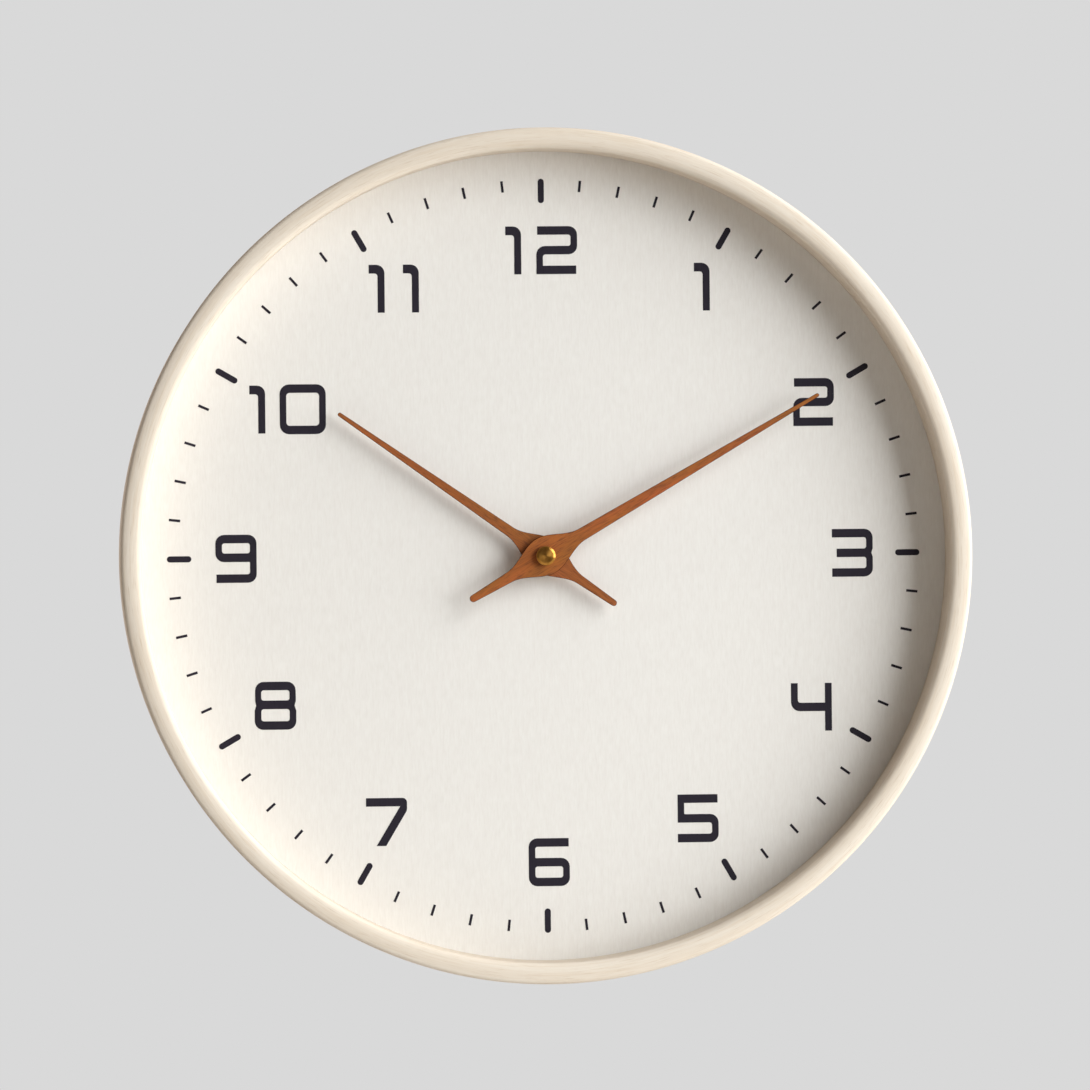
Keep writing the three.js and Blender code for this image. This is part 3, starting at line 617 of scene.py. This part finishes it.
WOOD = ring_wood()
HOUR_WOOD = hand_wood("hour_hand_wood", HOUR_HAND_ANGLE, srgb(170, 90, 43), srgb(160, 94, 39))
MINUTE_WOOD = hand_wood("minute_hand_wood", MINUTE_HAND_ANGLE, srgb(176, 92, 42), srgb(165, 99, 36))
# Painted shade for the hands' side and bevel faces
EDGE_SHADE = hand_edge()
LINEN = dial_linen()
INK = dial_ink()
NUT_BRASS = turned_brass("nut_brass", srgb(208, 152, 74), srgb(176, 124, 54), 0.3)
BRASS = turned_brass("brass", srgb(224, 190, 120), srgb(200, 164, 96), 0.3)
STEEL = zinc_steel()
BOARD = fibreboard()
BLOCK = block_wood()
BLACK = moulded_plastic("black_plastic", srgb(50, 51, 53), srgb(43, 44, 46), 0.4, 0.55)
WHITE = moulded_plastic("white_plastic", srgb(236, 233, 224), srgb(226, 223, 213), 0.3, 0.42)
RUBBER = rubber()
COPPER = copper_wire()
LAMINATE = circuit_laminate()
SLEEVE = battery_sleeve()
MAGNET = sintered_magnet()

SLOT_MATERIALS = {
    "ring_wood": WOOD,
    "dial_linen": LINEN,
    "fibreboard": BOARD,
    "block_wood": BLOCK,
    "hand_wood": MINUTE_WOOD,
    "brass": BRASS,
    "steel": STEEL,
    "black_plastic": BLACK,
    "white_plastic": WHITE,
    "rubber": RUBBER,
    "copper_wire": COPPER,
    "circuit_laminate": LAMINATE,
    "battery_sleeve": SLEEVE,
    "magnet": MAGNET,
}


def paint_cad_nodes():
    """Gives every CAD node the finish of its slot in the record."""
    for subpart in frame["record"]["subparts"]:
        data = frame["nodes"][subpart["node"]].data
        data.materials.clear()
        data.materials.append(SLOT_MATERIALS[subpart["material_slot"]])


# ---------------------------------------------------------------- ring and dial

def add_ring():
    """The bent wooden ring: a slightly domed face with both its edges rounded."""
    face_centre = (APEX_RADIUS, RING_FRONT + FACE_ROUNDING)
    lip_reach = FACE_ROUNDING - LIP_ROUNDING
    lip_angle = math.degrees(math.asin((APEX_RADIUS - LIP_RADIUS - LIP_ROUNDING) / lip_reach))
    lip_centre = polar(lip_reach, 270 - lip_angle, face_centre)
    corner_reach = FACE_ROUNDING - CORNER_ROUNDING
    corner_angle = math.degrees(math.asin((RING_RADIUS - CORNER_ROUNDING - APEX_RADIUS) / corner_reach))
    corner_centre = polar(corner_reach, 270 + corner_angle, face_centre)
    rear_centre = (RING_RADIUS - REAR_ROUNDING, -REAR_ROUNDING)
    lip_rear = DIAL_FRONT - FIT
    profile = arc(lip_centre, LIP_ROUNDING, 180, 270 - lip_angle, 12)
    profile += arc(face_centre, FACE_ROUNDING, 270 - lip_angle, 270 + corner_angle, 16)[1:]
    profile += arc(corner_centre, CORNER_ROUNDING, 270 + corner_angle, 360, 12)[1:]
    profile += arc(rear_centre, REAR_ROUNDING, 0, 90, 4)
    profile += [(RABBET_RADIUS + RABBET_CHAMFER, 0), (RABBET_RADIUS, -RABBET_CHAMFER)]
    profile += [(RABBET_RADIUS, lip_rear), (LIP_RADIUS, lip_rear)]
    body = lathe(profile, 360, closed=True)
    moved(body, Matrix.Scale(RING_NARROWING, 4, (1, 0, 0)))
    add_piece("wood_ring", body, "clock_body", [WOOD], ["frame_ring"])


INK_DEPTH = 0.05
INK_GAP = 0.004
TICK_RADIUS = 130.8
TICK_LENGTH = 4.0
TICK_WIDTH = 0.9
STROKE_RADIUS = 128.6
STROKE_LENGTH = 8.6
STROKE_WIDTH = 2.15

# Numerals: height, width, level and upright stroke, the roundings of bends and bowls, and
# the places that most digits share
HEIGHT = 16.75
WIDTH = 14.35
BAR = 2.95
STEM = 2.3
BEND = 3.0
BOWL = 0.85
MIDDLE = HEIGHT / 2
INNER_TOP = HEIGHT - BAR
INNER_RIGHT = WIDTH - STEM
BAR_TOP = MIDDLE + BAR / 2
BAR_FOOT = MIDDLE - BAR / 2
ONE_FLAG = HEIGHT - 3.05
EIGHT_WIDTH = 14.5
ZERO_WIDTH = 16.1
ZERO_RISE = 0.3
ZERO_DROP = 0.35

DIGITS = {
    "1": [[(0, HEIGHT), (5.5, HEIGHT, 2.9), (5.5, 0), (3.05, 0), (3.05, ONE_FLAG, 1.0), (0, ONE_FLAG)]],
    "2": [[(0.35, HEIGHT), (WIDTH, HEIGHT, BEND), (WIDTH, BAR_FOOT, BEND), (STEM, BAR_FOOT, 0.9),
           (STEM, BAR), (WIDTH - 0.4, BAR), (WIDTH - 0.4, 0), (0, 0), (0, BAR_TOP, BEND),
           (INNER_RIGHT, BAR_TOP, BOWL), (INNER_RIGHT, INNER_TOP, BOWL), (0.35, INNER_TOP)]],
    "3": [[(0, HEIGHT), (WIDTH, HEIGHT, BEND), (WIDTH, MIDDLE + 1.6, 1.2), (WIDTH - 0.45, MIDDLE),
           (WIDTH, MIDDLE - 1.6, 1.2), (WIDTH, 0, BEND), (0, 0), (0, BAR), (INNER_RIGHT, BAR, BOWL),
           (INNER_RIGHT, BAR_FOOT, BOWL), (1.64, BAR_FOOT), (1.64, BAR_TOP),
           (INNER_RIGHT, BAR_TOP, BOWL), (INNER_RIGHT, INNER_TOP, BOWL), (0, INNER_TOP)]],
    "4": [[(0, HEIGHT), (0, BAR_FOOT, 3.1), (WIDTH - 2.4, BAR_FOOT), (WIDTH - 2.4, 0), (WIDTH, 0),
           (WIDTH, HEIGHT), (WIDTH - 2.4, HEIGHT), (WIDTH - 2.4, BAR_TOP), (2.4, BAR_TOP, 0.9),
           (2.4, HEIGHT)]],
    "5": [[(0, HEIGHT), (WIDTH - 0.3, HEIGHT), (WIDTH - 0.3, INNER_TOP), (STEM, INNER_TOP),
           (STEM, BAR_TOP, 0.4), (WIDTH, BAR_TOP, BEND), (WIDTH, 0, BEND), (0, 0), (0, BAR),
           (INNER_RIGHT, BAR, BOWL), (INNER_RIGHT, BAR_FOOT, BOWL), (0, BAR_FOOT)]],
    "6": [[(WIDTH - 0.3, HEIGHT), (0, HEIGHT, BEND), (0, 0, BEND), (WIDTH, 0, BEND), (WIDTH, BAR_TOP, BEND),
           (STEM, BAR_TOP, 0.3), (STEM, INNER_TOP, BOWL), (WIDTH - 0.3, INNER_TOP)],
          [(STEM, BAR, BOWL), (INNER_RIGHT, BAR, BOWL), (INNER_RIGHT, BAR_FOOT, BOWL),
           (STEM, BAR_FOOT, BOWL)]],
    "7": [[(0, HEIGHT), (WIDTH, HEIGHT, 1.6), (WIDTH, 12.4, 3), (6.95, 0), (3.6, 0), (11.95, INNER_TOP),
           (0, INNER_TOP)]],
    "8": [[(0.2, HEIGHT, BEND), (14.3, HEIGHT, BEND), (14.4, 10.1, 1.2), (13.9, 8.4),
           (EIGHT_WIDTH, 6.7, 1.2), (EIGHT_WIDTH, 0, BEND), (0, 0, BEND), (0, 6.7, 1.2), (0.5, 8.4),
           (0.2, 10.1, 1.2)],
          rectangle(STEM, 10.2, EIGHT_WIDTH - STEM, INNER_TOP, 0.9),
          rectangle(STEM, BAR, EIGHT_WIDTH - STEM, 7.2, 0.9)],
    "9": [[(0, HEIGHT, BEND), (0, 7.25, BEND), (INNER_RIGHT, 7.25, 0.3), (INNER_RIGHT, BAR, BOWL),
           (0.3, BAR), (0.3, 0), (WIDTH, 0, BEND), (WIDTH, HEIGHT, BEND)],
          [(STEM, 10.25, BOWL), (INNER_RIGHT, 10.25, BOWL), (INNER_RIGHT, INNER_TOP, BOWL),
           (STEM, INNER_TOP, BOWL)]],
    "0": [rectangle(0, -ZERO_DROP, ZERO_WIDTH, HEIGHT + ZERO_RISE, 3.3),
          rectangle(STEM, BAR - ZERO_DROP, 13.8, HEIGHT + ZERO_RISE - BAR, 1.2)],
}
DIGIT_WIDTHS = {"0": ZERO_WIDTH, "1": 5.4, "8": EIGHT_WIDTH}
DIGIT_GAPS = {"10": 5.15, "11": 6.6, "12": 5.4}

NUMERAL_RADIUS = 108.6
NUMERAL_SCALE = 1.0075
# How far the printed numerals stand from an even circle
NUMERAL_SHIFTS = {1: (2.3, 0.4), 2: (1.8, -0.9), 3: (0.5, 0), 5: (-0.8, 0.9), 6: (0.7, 0.6), 7: (-2.2, 0.9),
                  8: (-1.2, 2.5), 10: (4.1, -1.9), 11: (2.1, 0.5), 12: (0, -0.9)}


def numeral_outlines(hour):
    """Outer outlines and holes of one numeral, in place."""
    text = str(hour)
    widths = [DIGIT_WIDTHS.get(digit, WIDTH) for digit in text]
    gap = DIGIT_GAPS.get(text, 0)
    left = -(sum(widths) + gap * (len(text) - 1)) / 2
    at = clock_place(NUMERAL_RADIUS, 5 * hour)
    shift = NUMERAL_SHIFTS.get(hour, CENTRE)
    centre = (at[0] + shift[0], at[1] + shift[1])
    outers, holes = [], []
    for digit, width in zip(text, widths):
        for index, corners in enumerate(DIGITS[digit]):
            shape = [(x + left, z - MIDDLE) for x, z in rounded(corners)]
            (holes if index else outers).append(placed(shape, centre, 0, NUMERAL_SCALE))
        left += width + gap
    return outers, holes


def add_ink(name, outers, holes=()):
    body = plate(outers, DIAL_FRONT - INK_DEPTH, DIAL_FRONT - INK_GAP, holes=holes)
    add_piece(name, body, "clock_body", [INK])


def add_dial_print():
    outers, holes = [], []
    for hour in range(1, 13):
        numeral_outers, numeral_holes = numeral_outlines(hour)
        outers += numeral_outers
        holes += numeral_holes
    add_ink("numerals", outers, holes)
    minutes = range(60)
    stroke = capsule(STROKE_LENGTH, STROKE_WIDTH)
    strokes = [placed(stroke, clock_place(STROKE_RADIUS, m), 6 * m) for m in minutes if m % 5 == 0]
    add_ink("hour_strokes", strokes)
    tick = rectangle(-TICK_WIDTH / 2, -TICK_LENGTH / 2, TICK_WIDTH / 2, TICK_LENGTH / 2)
    ticks = [placed(tick, clock_place(TICK_RADIUS, m), 6 * m) for m in minutes if m % 5]
    add_ink("minute_strokes", ticks)


# ---------------------------------------------------------------- hands

HUB_SWELL = 4.35
HUB_REACH = 15.0
HAND_EDGE = 0.14
# Width of the ring of wood about the hub's hole that takes the face's colour
HUB_HOLE_RIM = 0.5


def hand_outline(tip, tail, arm_half, tip_half, tail_half, tail_end_half):
    """A slim hand that points up, with a smooth swelling about its hub; widths are halved."""
    def side(length, start_half, end_half):
        points = []
        steps = 24
        for step in range(steps + 1):
            along = HUB_REACH * step / steps
            swell = HUB_SWELL * math.cos(math.pi * step / steps / 2) ** 2
            points.append((start_half + (end_half - start_half) * along / length + swell, along))
        return points

    right = [(half, -along) for half, along in side(tail, tail_half, tail_end_half)[:0:-1]]
    right += side(tip, arm_half, tip_half)
    left = [(-half, along) for half, along in right[::-1]]
    top = arc((0, tip - tip_half), tip_half, 0, 180, 8)
    bottom = arc((0, tail_end_half - tail), tail_end_half, 180, 360, 12)
    return right + top + left + bottom


def add_hand(name, outline, angle, rides_on, node_name, hole_radius, wood):
    front, rear = front_of(node_name), rear_of(node_name)
    hole = circle(CENTRE, hole_radius)
    body = plate([placed(outline, CENTRE, angle)], front, rear, HAND_EDGE, [hole])
    for face in body.faces:
        centre = face.calc_center_median()
        inner = math.hypot(centre.x, centre.z) < hole_radius + HUB_HOLE_RIM
        # Side and bevel faces, away from the hub's hole, take the painted edge shade
        face.material_index = 0 if abs(face.normal.y) > 0.999 or inner else 1
    add_piece(name, body, rides_on, [wood, EDGE_SHADE], [node_name])


def add_hands():
    hour = hand_outline(88.4, 30.4, 2.1, 0.7, 2.1, 1.1)
    minute = hand_outline(112, 30.8, 2.48, 0.65, 2.5, 1.25)
    add_hand("hour_hand_blade", hour, HOUR_HAND_ANGLE, "hour_hand_body", "hour_hand", 3.65, HOUR_WOOD)
    add_hand("minute_hand_blade", minute, MINUTE_HAND_ANGLE, "minute_hand_body", "minute_hand", 2.65,
             MINUTE_WOOD)


def add_hand_nut():
    """A round closed nut with a faced front and a wide chamfer."""
    low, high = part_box("hand_nut")
    foot = 0.15
    radius = (high.x - low.x) / 2 / MM - foot
    front, rear = low.y / MM, high.y / MM
    chamfer, drop, shoulder = 0.8, 0.42, 0.12
    bore, bore_front = 1.3, front + 0.6
    profile = [(0, front), (radius - chamfer - 0.08, front), (radius - chamfer + 0.08, front + 0.03)]
    profile += [(radius - shoulder, front + drop), (radius, front + drop + shoulder)]
    profile += [(radius, rear - foot), (radius - foot, rear)]
    profile += [(bore, rear), (bore, bore_front), (0, bore_front)]
    add_piece("turned_nut", lathe(profile, 96), "minute_hand_body", [NUT_BRASS], ["hand_nut"])


def add_hand_bushes():
    """Flanged sleeves pressed into the hands from behind."""
    for hand, sleeve, bore in (("hour_hand", 3.6, 2.55), ("minute_hand", 2.6, 1.5)):
        cad_name = hand + "_bush"
        low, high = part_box(cad_name)
        flange = (high.x - low.x) / 2 / MM
        front, seat, rear = low.y / MM, rear_of(hand) + FIT, high.y / MM
        edge = 0.1
        profile = [(bore + edge, front), (sleeve - edge, front), (sleeve, front + edge), (sleeve, seat)]
        profile += [(flange - edge, seat), (flange, seat + edge), (flange, rear - edge)]
        profile += [(flange - edge, rear), (bore + edge, rear), (bore, rear - edge), (bore, front + edge)]
        body = lathe(profile, 64, closed=True)
        add_piece(cad_name + "_turned", body, hand + "_body", [BRASS], [cad_name])


# ---------------------------------------------------------------- fixing of the movement

def add_movement_fixing():
    thread_radius, bore = 3.95, 2.6
    flange = 6.0
    front, rear = front_of("threaded_bush"), rear_of("threaded_bush")
    flange_front = front_of("movement_front_case") - 0.8
    pitch = 0.5
    profile = [(bore, front + 0.15), (bore + 0.15, front), (thread_radius - 0.4, front)]
    crest = front + 0.4
    while crest + pitch < flange_front:
        profile += [(thread_radius, crest), (thread_radius - 0.28, crest + pitch / 2)]
        crest += pitch
    profile += [(thread_radius, crest), (thread_radius, flange_front), (flange - 0.1, flange_front)]
    flange_rear = flange_front + 0.75
    profile += [(flange, flange_front + 0.1), (flange, flange_rear - 0.1), (flange - 0.1, flange_rear)]
    profile += [(thread_radius, flange_rear), (thread_radius, rear), (bore, rear)]
    bush = lathe(profile, 64, closed=True)
    add_piece("threaded_bush_turned", bush, "clock_body", [BRASS], ["threaded_bush"])

    front, rear = front_of("bush_washer"), rear_of("bush_washer")
    inner, outer, edge = 4.05, 6.0, 0.12
    profile = [(inner + edge, front), (outer - edge, front), (outer, front + edge), (outer, rear - edge)]
    profile += [(outer - edge, rear), (inner + edge, rear), (inner, rear - edge), (inner, front + edge)]
    washer = lathe(profile, 64, closed=True)
    add_piece("bush_washer_stamped", washer, "clock_body", [BRASS], ["bush_washer"])

    across_flats = 11
    across_corners = across_flats / math.cos(math.radians(30))
    hexagon = circle(CENTRE, across_corners / 2 - 0.02, 6)
    nut = plate([hexagon], front_of("bush_nut"), rear_of("bush_nut"), 0.2, [circle(CENTRE, 4.2)])
    add_piece("bush_nut_hexagon", nut, "clock_body", [BRASS], ["bush_nut"])


# ---------------------------------------------------------------- back

SCREW_SHANK = 1.5
SCREW_CORE = SCREW_SHANK - 0.35
SCREW_HOLE = SCREW_SHANK + 0.15


def plus(reach, half_width):
    """A cross-shaped outline."""
    arm = [(-half_width, reach), (half_width, reach), (half_width, half_width)]
    return [point for turn in range(4) for point in placed(arm, CENTRE, 90 * turn)]


def add_screw(cad_name, recess_turn):
    """A threaded pan-head screw driven from behind, with a cross recess."""
    at = middle_of(cad_name)
    low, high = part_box(cad_name)
    head = (high.x - low.x) / 2 / MM
    point, top = low.y / MM, high.y / MM
    seat = top - 1.3
    pitch = 0.9
    profile = [(0, point)]
    crest = point + 1.2
    while crest + pitch < seat:
        profile += [(SCREW_CORE, crest - 0.3), (SCREW_SHANK, crest)]
        crest += pitch
    dome_start = seat + 0.35
    profile += [(SCREW_CORE, crest - 0.3), (SCREW_CORE, seat), (head, seat), (head, dome_start)]
    dome = head * 0.4
    profile += [(head - dome * (1 - math.cos(angle)), dome_start + 0.95 * math.sin(angle))
                for angle in (0.4, 0.8, 1.2, math.pi / 2)]
    profile += [(0, top)]
    recess = plate([placed(plus(head * 0.5, 0.38), CENTRE, recess_turn)], top - 0.8, top + 1)
    body = carved(lathe(profile, 36), recess)
    shifted(body, x=at[0], z=at[1])
    add_piece(cad_name + "_crosshead", body, "clock_body", [STEEL], [cad_name])


def add_back_panel():
    """The rear board, with an access cut-out for the movement and a slot behind the hanger."""
    low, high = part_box("back_panel")
    panel_radius = (high.x - low.x) / 2 / MM
    cut_out = rectangle(-35, -43, 35, 27, 6)
    hanger = middle_of("hanger_plate")
    slot = rectangle(-8, hanger[1] - 12, 8, hanger[1] + 12, 3)
    screws = [middle_of(f"panel_screw_{number}") for number in range(1, 5)]
    screws += [middle_of(f"hanger_screw_{number}") for number in (1, 2)]
    holes = [cut_out, slot] + [circle(place, SCREW_HOLE, 24) for place in screws]
    outline = circle(CENTRE, panel_radius - FIT, 180)
    body = plate([outline], front_of("back_panel"), rear_of("back_panel"), 0.2, holes)
    add_piece("fibreboard_back", body, "clock_body", [BOARD], ["back_panel"])


def add_hanger():
    """A stamped plate with a keyhole for the wall hook."""
    x, z = middle_of("hanger_plate")
    hook = z + 6
    head, slot, drop = 5.0, 2.25, 11.0
    opening = math.degrees(math.asin(slot / head))
    keyhole = arc((0, hook - drop), head, 90 + opening, 450 - opening, 40) + arc((0, hook), slot, 0, 180, 16)
    screw_holes = [circle(middle_of(f"hanger_screw_{number}"), SCREW_HOLE, 24) for number in (1, 2)]
    outline = rectangle(x - 20, z - 14, x + 20, z + 14, 4, 10)
    front, rear = front_of("hanger_plate"), rear_of("hanger_plate")
    body = plate([outline], front, rear, 0.2, [keyhole] + screw_holes)
    add_piece("keyhole_hanger", body, "clock_body", [STEEL], ["hanger_plate"])


def add_front_case():
    """The moulded case: a gear room above and an open battery room below."""
    low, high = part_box("movement_front_case")
    left, right = low.x / MM, high.x / MM
    bottom, top = (low.z - AXIS_Z) / MM, (high.z - AXIS_Z) / MM
    front, rear = low.y / MM, high.y / MM
    wall = 1.4
    gear_bottom, battery_top = -16.8, -18.2
    beyond = rear + 5
    body = plate([rectangle(left, bottom, right, top, 3, 8)], front, rear, 0.35)
    gear_outline = rectangle(left + wall, gear_bottom, right - wall, top - wall, 1.6)
    body = carved(body, plate([gear_outline], front + 1.2, beyond))
    battery_outline = rectangle(left + wall, bottom + wall, right - wall, battery_top, 1.6)
    body = carved(body, plate([battery_outline], front + 0.8, beyond))
    bush_hole = circle(CENTRE, 4.0)
    body = carved(body, plate([bush_hole], front - 1, front + 3))
    add_piece("moulded_front_case", body, "clock_body", [BLACK], ["movement_front_case"])


PIVOTS = [middle_of(wheel) for wheel in ("centre_wheel", "third_wheel", "fifth_wheel", "rotor_magnet")]


def add_rear_cover():
    """A lid with a raised rim, raised pivot seats and a hole for the knob."""
    low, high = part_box("movement_rear_cover")
    left, right = low.x / MM, high.x / MM
    bottom, top = (low.z - AXIS_Z) / MM, (high.z - AXIS_Z) / MM
    face = rear_of("movement_rear_cover")
    knob = middle_of("set_knob")
    body = plate([rectangle(left, bottom, right, top, 1.5)], face - 1.2, face, 0.12, [circle(knob, 1.5, 32)])
    sunk, proud = face - 0.1, face + 0.15
    seat_profile = [(0, sunk), (2.4, sunk), (2.4, face + 0.1), (2.25, proud), (1.3, proud)]
    seat_profile += [(1.1, face + 0.05), (0, face + 0.05)]
    for pivot in PIVOTS:
        body = joined(body, lathe(seat_profile, 40, pivot))
    inside = rectangle(left + 1.6, bottom + 1.6, right - 1.6, top - 1.6, 1.0)
    outside = rectangle(left + 0.7, bottom + 0.7, right - 0.7, top - 0.7, 1.3)
    rim = plate([outside], sunk, proud, 0.05, [inside])
    body = joined(body, rim)
    add_piece("moulded_rear_cover", body, "clock_body", [BLACK], ["movement_rear_cover"])


def knurled(radius, ridges, depth):
    """A round outline with shallow rounded ridges."""
    steps = ridges * 6
    outline = []
    for step in range(steps):
        dip = depth * (0.5 - 0.5 * math.cos(2 * math.pi * step / 6))
        outline.append(polar(radius - dip, 360 * step / steps))
    return outline


def gear(teeth, root, tip):
    """A small gear's outline, with tapered teeth."""
    points = []
    for tooth in range(teeth):
        for share, radius in ((-0.3, root), (-0.2, (root + tip) / 2), (-0.09, tip), (0.09, tip),
                              (0.2, (root + tip) / 2), (0.3, root)):
            points.append(polar(radius, 360 * (tooth + share) / teeth))
    return points


def add_set_knob():
    """The setting knob: a ribbed grip behind the cover and a pinion inside the case."""
    at = middle_of("set_knob")
    low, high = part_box("set_knob")
    radius = (high.x - low.x) / 2 / MM
    front, rear = low.y / MM, high.y / MM
    cover_gap = 0.3
    grip_front = rear_of("movement_rear_cover") + cover_gap
    dish_floor, dish_mouth = rear - 0.5, rear + 0.1
    grip = plate([knurled(radius - 0.02, 36, 0.45)], grip_front, rear, 0.18)
    dish = [(0, dish_floor), (radius - 2.2, dish_floor), (radius - 1.6, dish_mouth), (0, dish_mouth)]
    grip = carved(grip, lathe(dish, 60))
    pinion_front, pinion_rear = -18.1, -17.1
    teeth = plate([gear(12, 2.4, 3.42)], pinion_front, pinion_rear)
    thin, thick, sunk = 0.7, 1.2, 0.3
    spindle = lathe([(0, front), (thin, front), (thin, pinion_front + sunk), (thick, pinion_rear - sunk),
                     (thick, grip_front + sunk), (0, grip_front + sunk)], 32)
    body = joined(grip, teeth, spindle)
    shifted(body, x=at[0], z=at[1])
    add_piece("ribbed_set_knob", body, "setting_knob", [BLACK], ["set_knob"])


# ---------------------------------------------------------------- battery and contacts

def add_battery():
    low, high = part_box("battery")
    left, right = low.x / MM, high.x / MM
    y, z = (low.y + high.y) / 2 / MM, middle_of("battery")[1]
    radius = (high.z - low.z) / 2 / MM
    nub, shoulder = 2.75, right - 1.0
    profile = [(0, left + 0.15), (5.4, left + 0.15), (5.6, left), (radius - 0.7, left)]
    crimp = 0.55
    profile += arc((radius - crimp, left + crimp), crimp, 270, 360, 6)
    profile += arc((radius - crimp, shoulder - crimp), crimp, 0, 90, 6)
    profile += [(radius - 1.1, shoulder), (radius - 1.3, shoulder - 0.2), (nub + 0.3, shoulder - 0.2)]
    profile += [(nub, shoulder), (nub, right - 0.25), (nub - 0.25, right), (0, right)]
    body = lathe([(round(across, 3), along) for across, along in profile], 72)
    for face in body.faces:
        centre = face.calc_center_median()
        inside = math.hypot(centre.x, centre.z) < radius - 1.15
        face.material_index = 1 if inside else 0
    turn = Matrix.Rotation(-math.pi / 2, 4, "Z")
    moved(body, Matrix.Translation((0, y, z)) @ turn)
    add_piece("dry_cell", body, "battery_cell", [SLEEVE, STEEL], ["battery"])


def add_contacts():
    half_height, half_thickness = 4.5, 0.2
    stand = Matrix.Rotation(math.pi / 2, 4, "Z")
    for cad_name in ("positive_contact", "negative_contact"):
        low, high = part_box(cad_name)
        middle = (low + high) / 2 / MM
        outline = rectangle(-half_height, -half_height, half_height, half_height, 1.2)
        body = moved(plate([outline], -half_thickness, half_thickness, 0.06), stand)
        shifted(body, middle.x, middle.y, middle.z - AXIS_Z / MM)
        add_piece(cad_name + "_leaf", body, "clock_body", [STEEL], [cad_name])

    low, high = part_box("contact_spring")
    wire = 0.25
    start, end = low.x / MM + wire, high.x / MM - wire
    y, z = (low.y + high.y) / 2 / MM, middle_of("contact_spring")[1]
    turns, steps = 2.5, 120
    wide, narrow = 3.4, 1.4
    path = []
    for step in range(steps + 1):
        share = step / steps
        angle = 2 * math.pi * turns * share
        reach = wide + (narrow - wide) * share
        path.append((start + (end - start) * share, y + reach * math.cos(angle), z + reach * math.sin(angle)))
    add_piece("coiled_contact", sweep(path, wire), "clock_body", [STEEL], ["contact_spring"])


# ---------------------------------------------------------------- camera, light and floor

CAMERA_DISTANCE = 2.686
CAMERA_AZIMUTH = -3.75
CAMERA_ROLL = -0.558
LENS = 253.1
TARGET = Vector((-0.0007, RING_FRONT * MM + 0.005, AXIS_Z + 0.0038))


def add_camera():
    camera = bpy.data.objects.new("camera", bpy.data.cameras.new("camera"))
    bpy.context.scene.collection.objects.link(camera)
    bpy.context.scene.camera = camera
    camera.data.lens = LENS
    camera.data.clip_start = 0.1
    azimuth = math.radians(CAMERA_AZIMUTH)
    back = Vector((math.sin(azimuth), -math.cos(azimuth), 0))
    camera.location = TARGET + back * CAMERA_DISTANCE
    level = (-back).to_track_quat("-Z", "Y")
    roll = Quaternion((0, 0, 1), math.radians(CAMERA_ROLL))
    camera.rotation_mode = "QUATERNION"
    camera.rotation_quaternion = level @ roll


def add_area_light(name, direction, distance, size, watts, tint):
    light = bpy.data.lights.new(name, "AREA")
    light.shape = "SQUARE"
    light.size = size
    light.energy = watts
    light.color = tint
    holder = bpy.data.objects.new(name, light)
    bpy.context.scene.collection.objects.link(holder)
    middle = Vector((0, RING_FRONT * MM, AXIS_Z))
    holder.location = middle + Vector(direction).normalized() * distance
    holder.rotation_mode = "QUATERNION"
    holder.rotation_quaternion = (middle - holder.location).to_track_quat("-Z", "Y")


BACKGROUND_GREY = srgb(217, 217, 217)[0]


def add_world():
    """An even grey backdrop, and a soft surround that is brighter behind the clock."""
    world = bpy.data.worlds.new("studio")
    bpy.context.scene.world = world
    world.use_nodes = True
    tree = world.node_tree
    tree.nodes.clear()
    direction = node(tree, "TexCoord").outputs["Generated"]
    depth = node(tree, "SeparateXYZ", {0: direction}).outputs[1]
    strength = between(tree, depth, -0.4, 0.6, 0.065, 0.8)
    surround = node(tree, "Background", {"Color": (1, 0.84, 0.72, 1), "Strength": strength})
    backdrop = node(tree, "Background", {"Color": (1, 1, 1, 1), "Strength": BACKGROUND_GREY})
    seen = node(tree, "LightPath").outputs["Is Camera Ray"]
    mixed = node(tree, "MixShader", {0: seen, 1: surround.outputs[0], 2: backdrop.outputs[0]})
    node(tree, "OutputWorld", {0: mixed.outputs[0]})


def add_floor():
    material, tree, shader = new_material("floor", Specular_IOR_Level=0.2)
    place = node(tree, "TexCoord").outputs["Object"]
    mottle = noise(tree, place, 3, 4)
    colour(tree, shader, blend(tree, mottle, srgb(222, 221, 218), srgb(230, 229, 226)))
    roughness(tree, shader, between(tree, mottle, 0.3, 0.7, 0.7, 0.85))
    bump(tree, shader, mottle, 0.05, 1)
    floor_radius = 0.9
    floor_drop = 0.13
    body = bmesh.new()
    bmesh.ops.create_circle(body, cap_ends=True, radius=floor_radius, segments=96)
    bmesh.ops.translate(body, verts=body.verts, vec=(0, 0, ring_low.z - floor_drop))
    mesh = bpy.data.meshes.new("floor")
    body.to_mesh(mesh)
    body.free()
    mesh.materials.append(material)
    floor = bpy.data.objects.new("floor", mesh)
    bpy.context.scene.collection.objects.link(floor)


# ---------------------------------------------------------------- assembly

paint_cad_nodes()
add_ring()
add_dial_print()
add_hands()
add_hand_nut()
add_hand_bushes()
add_movement_fixing()
add_back_panel()
add_hanger()
for number in range(1, 5):
    add_screw(f"panel_screw_{number}", 25 * number)
for number in (1, 2):
    add_screw(f"hanger_screw_{number}", 40 * number)
add_front_case()
add_rear_cover()
add_set_knob()
add_battery()
add_contacts()
add_camera()
add_world()
add_area_light("key", direction=(0.815, -0.48, 0.3), distance=2.5, size=2.5, watts=119,
               tint=(0.99, 1.0, 1.0))
add_floor()
bpy.context.scene.view_settings.view_transform = "Standard"
